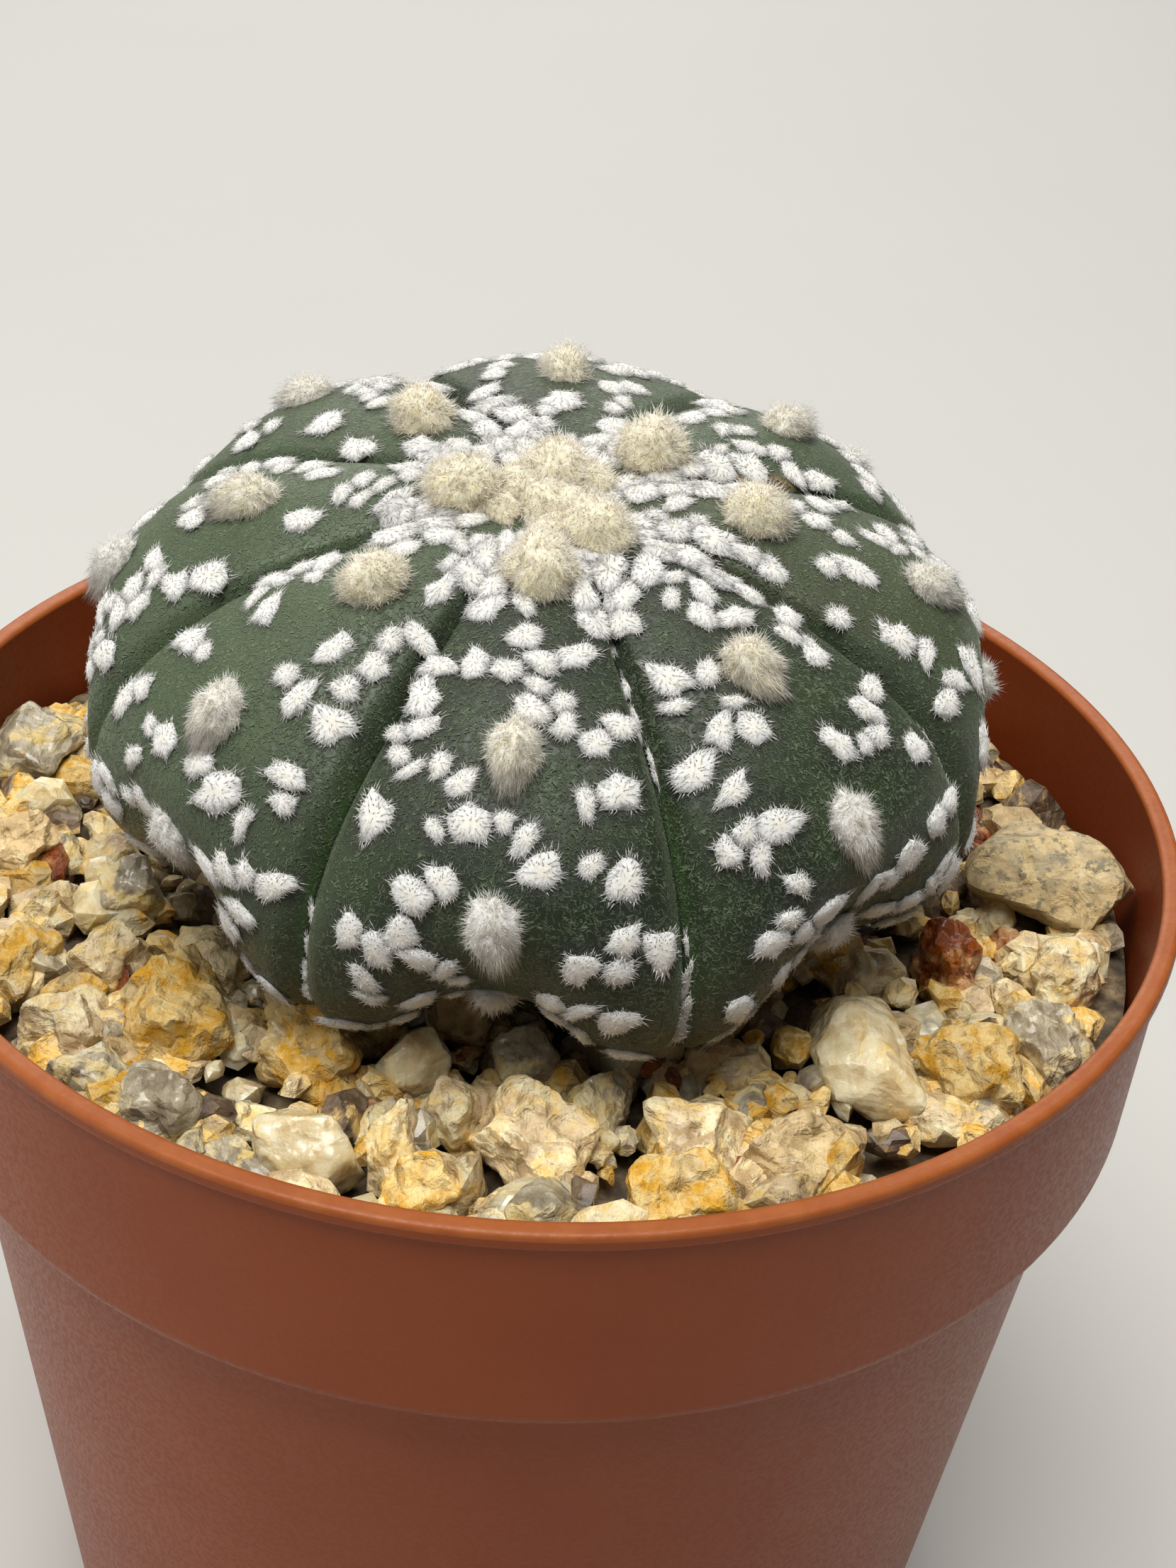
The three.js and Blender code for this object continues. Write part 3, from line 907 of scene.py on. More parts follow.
@dataclass
class RibbedBody:
    """The plant's ribbed form, about its own axis and in the part's frame."""

    radius: float = 30.8
    height: float = 16.5
    depth: float = 13.5
    back_depth: float = 10.0
    dome_power: float = 0.84
    belly_power: float = 0.8
    dimple: float = 1.8
    dimple_radius: float = 6.0
    seams: tuple[float, ...] = (-116.4, -70.6, -22.8, 23.3, 63.2, 115.5, 157.2, 198.5)
    first_areoles: tuple[float, ...] = (15, 8, 25, 16, 6, 24, 11, 27)
    areole_step: float = 28.5
    areole_last: float = 101
    seam_edge: float = 0.95
    seam_width: float = 0.14
    seam_depth: float = 1.5
    seam_sharpness: float = 1.6
    swell: float = 1.1
    tuck_depth: float = 5.0
    tuck_width: float = 0.5
    place: Place = (-0.36, -1.28, 78 + 8.7)
    lean: float = 0.152

    def edges(self, rib: int) -> tuple[float, float]:
        """Gives the bearings of a rib's two seams, in degrees."""
        following = self.seams[rib + 1] if rib + 1 < len(self.seams) else self.seams[0] + 360
        return self.seams[rib], following

    def outline(self, angle: np.ndarray, turn: np.ndarray) -> tuple[np.ndarray, np.ndarray]:
        """Gives the smooth outline.

        Args:
            angle: the angle down from the axis, in radians.
            turn: the turn about the axis, in radians.

        Returns:
            Radius and height.
        """
        sine, cosine = np.sin(angle), np.cos(angle)
        reach = self.radius * sine
        depth = self.depth + self.back_depth * np.maximum(0, np.sin(turn)) ** 1.5 * sine
        up = self.height * np.abs(cosine) ** self.dome_power
        down = -depth * np.abs(cosine) ** self.belly_power
        rise = np.where(cosine >= 0, up, down)
        return reach, rise - self.dimple * np.exp(-((reach / self.dimple_radius) ** 2))

    def sink(self, angle: np.ndarray, across: np.ndarray) -> np.ndarray:
        """Gives how far the skin lies below the smooth outline.

        Args:
            angle: the angle down from the axis, in radians.
            across: from -1 at one seam to 1 at the next.

        Returns:
            The depth.
        """
        degrees = angle / DEGREE
        edge = np.abs(across)
        opened = ease(degrees, 4, 30)
        near = np.maximum(0, (edge - 1 + self.seam_width) / self.seam_width)
        fade = 1 - 0.5 * ease(degrees, 85, 120)
        seam = self.seam_depth * opened * fade * near**self.seam_sharpness
        swell = self.swell * opened * (1 - ease(degrees, 70, 100)) * edge**2
        under = ease(degrees, 66, 108) * (1 - ease(degrees, 140, 175))
        tuck = self.tuck_depth * under * np.exp(-((edge / self.tuck_width) ** 2))
        return seam + swell + tuck

    def skin(
        self,
        low: np.ndarray | float,
        high: np.ndarray | float,
        angle: np.ndarray | float,
        across: np.ndarray | float,
        raised: np.ndarray | float = 0.0,
    ) -> np.ndarray:
        """Gives points of the skin in the body's own frame.

        Args:
            low: the bearing of the rib's first seam, in degrees.
            high: the bearing of its second seam, in degrees.
            angle: the angle down from the axis, in radians.
            across: from -1 at the first seam to 1 at the second.
            raised: how far the point stands off the skin.

        Returns:
            One point in each row.
        """
        low, high, angle, across, raised = np.broadcast_arrays(
            *np.atleast_1d(low, high, angle, across, raised)
        )
        turn = ((low + high) / 2 + across * (high - low) / 2) * DEGREE
        reach, rise = self.outline(angle, turn)
        r0, z0 = self.outline(np.maximum(0, angle - 1e-3), turn)
        r1, z1 = self.outline(np.minimum(math.pi, angle + 1e-3), turn)
        length = np.hypot(r1 - r0, z1 - z0)
        move = raised - self.sink(angle, across)
        reach = np.maximum(0, reach + move * (z0 - z1) / length)
        rise = rise + move * (r1 - r0) / length
        return np.stack([reach * np.cos(turn), reach * np.sin(turn), rise], axis=-1)

    def on_rib(self, spot: Spot, raised: float = 0.0) -> np.ndarray:
        """Gives the place of a spot in the body's own frame."""
        low, high = self.edges(spot.rib)
        return self.skin(low, high, spot.degrees * DEGREE, spot.across, raised)[0]

    def seat(self, spot: Spot) -> Matrix:
        """Gives the frame of a spot on the skin, in the part's frame.

        Args:
            spot: the place on the skin.

        Returns:
            The placing in millimetres, with X down the rib and Z outwards.
        """
        low, high = self.edges(spot.rib)
        angle, step = spot.degrees * DEGREE, 0.02
        ends = self.skin(
            low,
            high,
            np.array([angle + step, angle - step, angle, angle]),
            np.array([spot.across, spot.across, spot.across + step, spot.across - step]),
        )
        down = Vector(ends[0] - ends[1])
        out = down.cross(Vector(ends[2] - ends[3])).normalized()
        if abs(spot.across) > self.seam_edge:
            out = Vector(self.on_rib(spot, 1.0) - self.on_rib(spot)).normalized()
        side = out.cross(down).normalized()
        turn = Matrix((side.cross(out), side, out)).transposed().to_4x4()
        return self.placing() @ Matrix.Translation(self.on_rib(spot)) @ turn

    def placing(self) -> Matrix:
        """Gives the matrix from the body's frame to the part's frame."""
        return Matrix.Translation(self.place) @ Matrix.Rotation(self.lean, 4, "X")

    def placed(self, points: np.ndarray) -> np.ndarray:
        """Moves points from the body's frame to the part's frame."""
        matrix = np.array(self.placing())
        return points @ matrix[:3, :3].T + matrix[:3, 3]

    def areoles(self, rib: int) -> list[float]:
        """Gives the places of a rib's areoles.

        Args:
            rib: the rib's number.

        Returns:
            Their angles down from the crown, in degrees.
        """
        angles, angle = [], self.first_areoles[rib]
        while angle <= self.areole_last:
            angles.append(angle)
            angle += self.areole_step
        return angles


@dataclass(frozen=True)
class Strip:
    """A strip of felt in a seam, from one angle down the body to another."""

    seam: int
    start: float
    end: float
    start_width: float
    end_width: float


STRIPS = (
    Strip(0, 7, 23, 0.9, 0.16),
    Strip(0, 82, 104, 0.22, 0.6),
    Strip(1, 7, 47, 0.9, 0.14),
    Strip(1, 80, 106, 0.25, 0.7),
    Strip(2, 7, 36, 0.85, 0.16),
    Strip(2, 62, 88, 0.3, 0.4),
    Strip(3, 7, 30, 0.8, 0.2),
    Strip(3, 70, 100, 0.3, 0.5),
    Strip(4, 7, 34, 0.9, 0.2),
    Strip(5, 7, 38, 0.9, 0.2),
    Strip(5, 78, 104, 0.3, 0.6),
    Strip(6, 7, 30, 0.8, 0.16),
    Strip(6, 52, 66, 0.3, 0.3),
    Strip(7, 7, 26, 0.9, 0.2),
    Strip(7, 84, 104, 0.3, 0.6),
)


@dataclass
class FleckRule:
    """Where felted flecks stand: scattered first, then singles between, then partners."""

    body: RibbedBody
    seed: int = 2309
    tries: int = 220
    reach: tuple[float, float] = (15, 112)
    spread: float = 0.84
    spacing: float = 4.6
    sizes: tuple[float, float] = (1.3, 1.85)
    tuft_reach: float = 2.6
    cluster_seed: int = 77
    cluster_sizes: tuple[float, float] = (0.85, 1.45)
    cluster_most: int = 2
    cluster_tries: int = 30
    cluster_reach: tuple[float, float] = (12, 114)
    cluster_overlap: float = 0.66
    cluster_tuft_reach: float = 3.0
    single_tries: int = 5000
    single_sizes: tuple[float, float] = (0.95, 1.5)
    single_gap: float = 0.62
    single_reach: tuple[float, float] = (14, 111)
    crown_reach: tuple[float, float] = (9.5, 25)
    unbroken: float = 20
    breaks: float = 0.3
    degrees_per_mm: float = 2.08

    def leads(self) -> list[Spot]:
        """Gives the flecks that the solid has too, in the same order.

        Returns:
            Their places, sizes and turns.
        """
        stream = Stream(self.seed)
        spots: list[Spot] = []
        centres: list[np.ndarray] = []
        for rib in range(len(self.body.seams)):
            tufts = [self.body.on_rib(Spot(rib, a, 0, 0)) for a in self.body.areoles(rib)]
            for _ in range(self.tries):
                degrees = stream.between(*self.reach)
                across = (2 * stream.draw() - 1) * self.spread
                radius = stream.between(*self.sizes)
                stretch = stream.between(0.8, 1.3)
                turn = math.pi * stream.draw()
                spot = Spot(rib, degrees, across, radius, stretch, turn)
                centre = self.body.on_rib(spot)
                clear = all(np.linalg.norm(t - centre) > self.tuft_reach + radius for t in tufts)
                if clear and all(np.linalg.norm(c - centre) > self.spacing for c in centres):
                    spots.append(spot)
                    centres.append(centre)
        return spots

    def crown(self) -> list[Spot]:
        """Gives the flecks round the crown: long ones along the seams, small ones between.

        Returns:
            Their places, sizes and turns.
        """
        stream = Stream(self.cluster_seed + 1)
        spots = []
        for rib in range(len(self.body.seams)):
            for side in (-1, 1):
                degrees = self.crown_reach[0] + stream.between(0, 2)
                last = self.crown_reach[1] + stream.between(-6, 5)
                while degrees < last:
                    across = side * stream.between(0.6, 0.84)
                    radius, stretch = stream.between(1.3, 1.95), stream.between(1.05, 1.5)
                    turn = side * stream.between(-0.1, 0.45)
                    spots.append(Spot(rib, degrees, across, radius, stretch, turn))
                    degrees += stream.between(3.4, 5.0)
            degrees = self.crown_reach[0] + 3
            while degrees < self.crown_reach[1] - 4:
                across = stream.between(-0.45, 0.45)
                turn = stream.between(0, math.pi)
                spot = Spot(rib, degrees, across, stream.between(0.9, 1.3), 1.2, turn)
                if all(abs(spot.degrees - a) > 6 for a in self.body.areoles(rib)):
                    spots.append(spot)
                degrees += stream.between(2.4, 4.0)
        return spots

    def widest(self, degrees: float) -> float:
        """Gives how far across a rib flecks stand, at an angle down from the crown."""
        return 0.88 - 0.14 * ease(degrees, 40, 60)

    def singles(self, others: list[Spot]) -> list[Spot]:
        """Adds flecks in the open skin that the first ones leave.

        Args:
            others: the flecks that they keep clear of.

        Returns:
            The added flecks.
        """
        stream = Stream(self.cluster_seed + 3)
        added: list[Spot] = []
        ribs = len(self.body.seams)
        tufts = [
            Spot(rib, angle, 0, self.tuft_reach)
            for rib in range(ribs)
            for angle in self.body.areoles(rib)
        ]
        centres = np.array([self.body.on_rib(s) for s in others + tufts])
        radii = np.array([s.radius for s in others + tufts])
        for i in range(self.single_tries):
            degrees = stream.between(*self.single_reach)
            across = stream.between(-1, 1) * self.widest(degrees)
            radius = stream.between(*self.single_sizes)
            stretch, turn = stream.between(1.0, 1.45), stream.between(0, math.pi)
            spot = Spot(i % ribs, degrees, across, radius, stretch, turn)
            centre = self.body.on_rib(spot)
            gaps = np.linalg.norm(centres - centre, axis=1) - radii - radius
            if stream.draw() < math.sin(degrees * DEGREE) and gaps.min() > self.single_gap:
                added.append(spot)
                centres, radii = np.vstack([centres, centre]), np.append(radii, radius)
        return added

    def clusters(self, leads: list[Spot], others: list[Spot]) -> list[Spot]:
        """Adds smaller flecks that crowd against the first ones.

        Args:
            leads: the flecks that they grow from.
            others: more flecks that they keep clear of.

        Returns:
            The added flecks.
        """
        stream = Stream(self.cluster_seed)
        added: list[Spot] = []
        taken = [(self.body.on_rib(s), s.radius) for s in leads + others]
        for rib in range(len(self.body.seams)):
            for angle in self.body.areoles(rib):
                tuft = self.body.on_rib(Spot(rib, angle, 0, 0))
                taken.append((tuft, self.cluster_tuft_reach))
        for lead in leads:
            low, high = self.body.edges(lead.rib)
            wanted = int(stream.between(0.6, self.cluster_most + 1))
            members = [lead]
            for _ in range(self.cluster_tries):
                if len(members) > wanted:
                    break
                root = members[int(stream.between(0, len(members)))]
                radius = stream.between(*self.cluster_sizes)
                way = stream.between(0, 2 * math.pi)
                gap = (root.radius + radius) * stream.between(0.7, 0.95)
                circle = self.body.radius * math.sin(root.degrees * DEGREE)
                half_rib = circle * (high - low) / 2 * DEGREE
                spot = Spot(
                    lead.rib,
                    root.degrees + gap * math.cos(way) * self.degrees_per_mm,
                    root.across + gap * math.sin(way) / half_rib,
                    radius,
                    stream.between(0.9, 1.5),
                    way + stream.between(0.9, 2.2),
                )
                centre = self.body.on_rib(spot)
                first, last = self.cluster_reach
                inside = first < spot.degrees < last
                inside = inside and abs(spot.across) < self.widest(spot.degrees)
                apart = (
                    np.linalg.norm(c - centre) > self.cluster_overlap * (r + radius)
                    for c, r in taken
                )
                if inside and all(apart):
                    added.append(spot)
                    members.append(spot)
                    taken.append((centre, radius))
        return added

    def strips(self) -> list[Spot]:
        """Gives the overlapping small pads that make up the strips of felt in the seams.

        Returns:
            Their places, sizes and turns.
        """
        stream = Stream(self.cluster_seed + 2)
        spots = []
        for strip in STRIPS:
            degrees = strip.start
            while degrees < strip.end:
                share = (degrees - strip.start) / (strip.end - strip.start)
                width = strip.start_width + share * (strip.end_width - strip.start_width)
                width *= stream.between(0.75, 1.2)
                length = stream.between(0.7, 1.15)
                spot = Spot(
                    strip.seam,
                    degrees,
                    -stream.between(0.975, 0.999),
                    math.sqrt(length * width),
                    math.sqrt(length / width),
                    stream.between(-0.25, 0.25),
                )
                if degrees < self.unbroken or stream.draw() > self.breaks:
                    spots.append(spot)
                degrees += stream.between(1.8, 2.7)
        return spots


@dataclass
class Felt:
    """Pads of felt and tufts of wool, each in a few variants with loose hairs."""

    stream: Stream = field(default_factory=lambda: Stream(FELT_SEED))
    pad_hair_width: float = 0.034
    shortest_hair: float = 0.12
    tuft_hair_width: float = 0.0135

    def hair(
        self,
        shape: bmesh.types.BMesh,
        root: Vector,
        along: Vector,
        length: float,
        width: float,
    ) -> None:
        """Adds a tapered hair.

        Args:
            shape: the shape that it is added to.
            root: where it starts.
            along: its direction.
            length: its length.
            width: its radius at the root.
        """
        turn = along.to_track_quat("Z", "X").to_matrix().to_4x4()
        bmesh.ops.create_cone(
            shape,
            cap_ends=True,
            segments=3,
            radius1=width,
            radius2=0,
            depth=length,
            matrix=Matrix.Translation(root + along * (length / 2)) @ turn,
        )

    def pad(self, hairs: int, longer: float = 1.0) -> bpy.types.Mesh:
        """Makes a fleck: an uneven low pad one across, ragged with fine hairs.

        Args:
            hairs: how many hairs it has.
            longer: makes the hairs longer, on pads that are scaled down.

        Returns:
            The template.
        """
        draw = self.stream.between
        shape = bmesh.new()
        bmesh.ops.create_icosphere(shape, subdivisions=2, radius=1)
        lobes = [(k, draw(0.03, 0.15), draw(0, 6.3)) for k in (2, 3, 5)]
        shift = Vector(self.stream.three(0, 50))

        def torn(around: float) -> float:
            """Gives how far the outline stands out at a bearing."""
            return sum(size * math.sin(k * around + start) for k, size, start in lobes)

        def surface(out: Vector) -> Vector:
            """Gives the pad's surface in a direction.

            Args:
                out: the direction, one long.

            Returns:
                The point.
            """
            reach = 0.79 + 0.24 * noise.noise(out * 2.2 + shift)
            reach *= 1 + torn(math.atan2(out.y, out.x))
            rise = 0.52 + 0.3 * noise.noise(out * 3.1 + shift) if out.z > 0 else 0.3
            return Vector((out.x * reach, out.y * reach, out.z * rise))

        for corner in shape.verts:
            corner.co = surface(corner.co)
        for i in range(hairs):
            level = ((i + 0.5) / hairs) ** 1.3
            ring, around = math.sqrt(1 - level * level), i * GOLDEN_ANGLE
            away = Vector((math.cos(around), math.sin(around), 0))
            aside = Vector((-away.y, away.x, 0)) * draw(-0.8, 0.8)
            up = Vector((0, 0, draw(-0.12, 0.3) + 0.35 * level))
            root = surface(away * ring + Vector((0, 0, level))) * 0.93
            along = (away + aside + up).normalized()
            length = draw(0.16, 0.42) * longer * (1 + 1.6 * torn(around))
            length = max(self.shortest_hair, length)
            self.hair(shape, root, along, length, self.pad_hair_width * longer)
        return template(
            shape,
            lambda co: math.exp(-4.5 * (co.x**2 + co.y**2)) if co.z > 0.2 else 0,
        )

    def tuft(self, hairs: int, hang: float) -> bpy.types.Mesh:
        """Makes an areole: a dome of wool one across, furred and combed down the rib.

        Args:
            hairs: how many hairs it has.
            hang: how far it runs out into a hanging tail.

        Returns:
            The template.
        """
        shape = bmesh.new()
        bmesh.ops.create_icosphere(shape, subdivisions=3, radius=1)
        shift = Vector(self.stream.three(0, 50))

        def bulk(out: Vector) -> float:
            """Gives how far the wool stands out in a direction."""
            return 0.8 + noise.noise(out * 2.3 + shift) * 0.2 + noise.noise(out * 6 + shift) * 0.12

        for corner in shape.verts:
            corner.co *= bulk(corner.co)
        for i in range(hairs):
            level = 1 - 1.2 * (i + 0.5) / hairs
            around = i * GOLDEN_ANGLE
            ring = math.sqrt(1 - level * level)
            out = Vector((ring * math.cos(around), ring * math.sin(around), level))
            combed = Vector((0.1 + 0.6 * hang, 0, -0.15)) + Vector((out.x, out.y, 0)) * 0.3
            astray = Vector(self.stream.three(-0.8, 0.8))
            along = (out * 0.8 + combed + astray).normalized()
            length = (0.17 + 0.27 * self.stream.draw() ** 1.6) * (1 + 0.35 * hang)
            root = out * (bulk(out) - 0.05)
            self.hair(shape, root, along, length, self.tuft_hair_width)
        for corner in shape.verts:
            tail = max(0.0, corner.co.x)
            corner.co.y *= 1 - 0.2 * hang * tail
            corner.co.x += 0.3 * hang * tail * tail
            corner.co.z *= 1 - 0.25 * hang * min(1.0, tail) if corner.co.z > 0 else 0.35
        return template(
            shape,
            lambda co: math.exp(-8 * ((co.x + 0.15) ** 2 + co.y**2)) * ease(co.z, 0.4, 0.8),
        )


@dataclass
class Plant:
    """The ribbed body and everything that grows on its skin."""

    body: RibbedBody
    groups: Groups
    columns_per_rib: int = 40
    rows: int = 128
    areole_size: Place = (2.5, 2.9, 2.1)
    fleck_height: float = 0.74
    large_fleck: float = 1.2
    pad_variants: int = 16
    pad_hairs: int = 124
    small_pad_hairs: int = 116
    seam_pad_variants: int = 12
    seam_pad_hairs: int = 64
    tuft_variants: int = 5
    tuft_hairs: int = 1240
    round_until: float = 34
    crown_wool: tuple[tuple[float, float], ...] = (
        (0.0, 3.1), (2.7, 2.8), (3.2, 2.4), (3.5, 2.6), (3.8, 2.3), (3.3, 2.5), (4.8, 1.9),
    )
    root_length: float = 44.0
    root_radius: float = 7.5
    root_tip: float = 2.2
    root_place: tuple[float, float] = (-0.36, 0.7)
    rim_height: float = 78.0
    fill_depth: float = 11.8
    skin_finish: SkinFinish = field(default_factory=SkinFinish)
    felt_finish: FeltFinish = field(default_factory=FeltFinish)

    def root_shape(self) -> bmesh.types.BMesh:
        """Makes the taproot as a turned taper.

        Returns:
            The shape in metres.
        """
        foot = self.rim_height - self.root_length
        shape = spun(
            [
                (0, foot),
                (self.root_tip * 0.6, foot + 0.3),
                (self.root_tip, foot + 2),
                (self.root_radius * 0.62, foot + self.root_length * 0.4),
                (self.root_radius, self.rim_height - self.fill_depth),
                (self.root_radius, self.rim_height - 1),
                (0, self.rim_height - 1),
            ],
            32,
        )
        bmesh.ops.translate(
            shape,
            verts=shape.verts[:],
            vec=(self.root_place[0] * MM, self.root_place[1] * MM, 0),
        )
        return shape

    def skin(self, flecks: list[Spot]) -> bpy.types.Object:
        """Makes the ribbed skin, with its marks for colour.

        Args:
            flecks: the flecks, round which shade is painted on the skin.

        Returns:
            The piece.
        """
        ribs = len(self.body.seams)
        shape = bmesh.new()
        bmesh.ops.create_uvsphere(
            shape,
            u_segments=self.columns_per_rib * ribs,
            v_segments=self.rows,
            radius=1,
        )
        raw = np.array([v.co[:] for v in shape.verts])
        slices = (np.arctan2(raw[:, 1], raw[:, 0]) / (2 * math.pi)) % 1 * ribs
        slices = np.round(slices * self.columns_per_rib) / self.columns_per_rib % ribs
        rib = np.floor(slices).astype(int)
        across = -np.cos(math.pi * (slices - rib))
        angle = np.arccos(np.clip(raw[:, 2], -1, 1))
        low = np.array([self.body.edges(r)[0] for r in range(ribs)])[rib]
        high = np.array([self.body.edges(r)[1] for r in range(ribs)])[rib]
        own = self.body.skin(low, high, angle, across)
        uneven = np.array([noise.noise(Vector(p) * 0.16) for p in own])
        own = self.body.skin(low, high, angle, across, 0.22 * uneven * ease(angle, 0.2, 0.6))
        placed = self.body.placed(own) * MM
        for corner, place in zip(shape.verts, placed):
            corner.co = place
        shape.from_mesh(self._root_mesh())
        piece = shape_object("cactus_skin", shape)
        bearing = ((low + high) / 2 + across * (high - low) / 2) % 360
        near = np.full(len(own), 9.0)
        for fleck in flecks:
            gap = np.linalg.norm(own - self.body.on_rib(fleck), axis=1) - fleck.radius
            near = np.minimum(near, gap)
        mark_points(piece, self._marks(near, angle / DEGREE, bearing, np.abs(across)))
        return piece

    def _marks(
        self, near: np.ndarray, degrees: np.ndarray, bearing: np.ndarray, edge: np.ndarray
    ) -> dict[str, np.ndarray]:
        """Gives the skin's marks for colour.

        Args:
            near: the distance to the nearest fleck.
            degrees: the angle down from the crown.
            bearing: the bearing about the axis, from 0 to 360.
            edge: 0 at a crest and 1 at a seam.

        Returns:
            Each mark's values.
        """
        painted_side_light = self._painted_side_light(bearing)
        return {
            # Painted shade round the flecks.
            "painted_fleck_shade": 1 - ease(near, 0.0, 1.6),
            "seam": ease(edge, 0.93, 1.0) * ease(degrees, 35, 62) * (1 - ease(degrees, 96, 108)),
            # Painted shade at the bottom of each seam's crease.
            "groove_shade": ease(edge, 0.984, 0.998) * ease(degrees, 18, 40),
            # Olive tint and painted shade towards the base, lessened where the side light is
            # painted.
            "low": ease(degrees, 84, 106) * (1 - 0.6 * painted_side_light),
            "painted_side_light": painted_side_light,
            "cork": self._cork(degrees, bearing),
        }

    def _root_mesh(self) -> bpy.types.Mesh:
        """Makes the taproot's mesh, to join to the skin.

        Returns:
            The mesh in metres.
        """
        mesh = bpy.data.meshes.new("taproot")
        root = self.root_shape()
        root.to_mesh(mesh)
        root.free()
        return mesh

    def _painted_side_light(self, bearing: np.ndarray) -> np.ndarray:
        """Marks the sides where the skin is painted paler, as painted light and painted sheen.

        Args:
            bearing: the bearing about the axis, in degrees.

        Returns:
            The share of painted light at each point.
        """
        left = ease(np.cos((bearing - 188) * DEGREE), 0.35, 0.95)
        right = ease(np.cos((bearing - 30) * DEGREE), 0.3, 0.95)
        return left + 0.8 * right

    def _cork(self, degrees: np.ndarray, bearing: np.ndarray) -> np.ndarray:
        """Marks the old corky skin: a scar beside a seam and the worn edge at the left.

        Args:
            degrees: the angle down from the crown.
            bearing: the bearing about the axis, from 0 to 360.

        Returns:
            The share of cork at each point.
        """
        scar = np.exp(-(((bearing - 24.5) / 1.8) ** 2))
        scar = scar * ease(degrees, 44, 50) * (1 - ease(degrees, 60, 68))
        rub = np.exp(-(((degrees - 101) / 5.0) ** 2)) * np.exp(-(((bearing - 196) / 18) ** 2))
        return np.clip(scar + rub, 0, 1)

    def flecks(
        self, name: str, pads: list[bpy.types.Mesh], spots: list[Spot]
    ) -> bpy.types.Object:
        """Makes felted flecks as one piece.

        Args:
            name: the piece's name.
            pads: the pads that are taken in turn, the ones for small flecks last.
            spots: where they stand.

        Returns:
            The piece.
        """
        shape = bmesh.new()
        for number, spot in enumerate(spots):
            thick = self.fleck_height * min(1.0, spot.radius)
            size = (spot.radius * spot.stretch, spot.radius / spot.stretch, thick, 1)
            turn = Matrix.Rotation(spot.turn, 4, "Z")
            placing = self.body.seat(spot) @ turn @ Matrix.Diagonal(size)
            choice = number % self.pad_variants
            if len(pads) > self.pad_variants and spot.radius <= self.large_fleck:
                choice += self.pad_variants
            join_copy(shape, pads[choice % len(pads)], placing)
        return shape_object(name, shape)

    def areoles(self, felt: Felt) -> bpy.types.Object:
        """Makes the woolly areoles and the crown's wool as one piece.

        Args:
            felt: makes the tufts.

        Returns:
            The piece.
        """
        round_tufts = [felt.tuft(self.tuft_hairs, 0.1) for _ in range(self.tuft_variants)]
        hanging_tufts = [felt.tuft(self.tuft_hairs, 0.7) for _ in range(self.tuft_variants)]
        across, along, height = self.areole_size
        shape = bmesh.new()
        number = 0
        for rib in range(len(self.body.seams)):
            for degrees in self.body.areoles(rib):
                grown = 1.08 - 0.2 * ease(degrees, 14, 34)
                slim = 1 - 0.14 * ease(degrees, 20, 50)
                tall = 1.4 - 0.42 * ease(degrees, 26, 60)
                size = (along * grown, across * grown * slim, height * grown * tall, 1)
                tufts = hanging_tufts if degrees > self.round_until else round_tufts
                turn = Matrix.Rotation(felt.stream.between(-0.3, 0.3), 4, "Z")
                yellow = 1 - 0.85 * ease(degrees, 22, 75)
                seat = self.body.seat(Spot(rib, degrees, 0, across))
                placing = seat @ turn @ Matrix.Diagonal(size)
                join_copy(shape, tufts[number % len(tufts)], placing, yellow)
                number += 1
        top = self.body.outline(np.array([0.0]), np.array([0.0]))[1][0]
        crown = self.body.placing() @ Matrix.Translation((0, 0, top))
        for i, (reach, size) in enumerate(self.crown_wool):
            around = i * GOLDEN_ANGLE
            place = Matrix.Translation((reach * math.cos(around), reach * math.sin(around), 0))
            puff = Matrix.Rotation(around, 4, "Z") @ Matrix.Diagonal((size, size, size * 0.85, 1))
            join_copy(shape, round_tufts[i % len(round_tufts)], crown @ place @ puff, 1.0)
        return shape_object("woolly_areoles", shape)

    def build(self) -> None:
        """Makes and dresses the plant's pieces."""
        rule = FleckRule(self.body)
        leads, crown = rule.leads(), rule.crown()
        spots = leads + rule.singles(leads + crown)
        spots += crown + rule.clusters(spots, crown)
        strips = rule.strips()
        log.info("flecks: %d in the solid, %d in all", len(leads), len(spots))
        felt = Felt()
        skin = self.skin(spots)
        shown(skin, [self.skin_finish.material(self.groups)], ["plant"])
        white = self.felt_finish.material(self.groups, "White felt", 0.0)
        pads = [felt.pad(self.pad_hairs) for _ in range(self.pad_variants)]
        pads += [felt.pad(self.small_pad_hairs, 1.25) for _ in range(self.pad_variants)]
        half = len(self.body.seams) // 2
        front = [spot for spot in spots if spot.rib < half]
        back = [spot for spot in spots if spot.rib >= half]
        shown(self.flecks("felted_flecks_front", pads, front), [white])
        shown(self.flecks("felted_flecks_back", pads, back), [white])
        pads = [felt.pad(self.seam_pad_hairs, 2.0) for _ in range(self.seam_pad_variants)]
        shown(self.flecks("felted_seams", pads, strips), [white])
        cream = self.felt_finish.material(self.groups, "Cream wool", 0.9)
        shown(self.areoles(felt), [cream])


# The gravel


@dataclass(frozen=True)
class Stone:
    """A stone's place, size, turn and kind."""

    x: float
    y: float
    size: tuple[float, float, float]
    turn: float
    top: float
    kind: StoneKind = StoneKind.CREAM

    def footprint(self) -> float:
        """Gives its mean radius seen from above."""
        return (self.size[0] + self.size[1]) / 4


@dataclass(frozen=True)
class BigStone:
    """A larger stone, by its bearing and distance from the pot's axis."""

    bearing: float
    reach: float
    size: tuple[float, float, float]
    turn: float
    lift: float
    kind: StoneKind


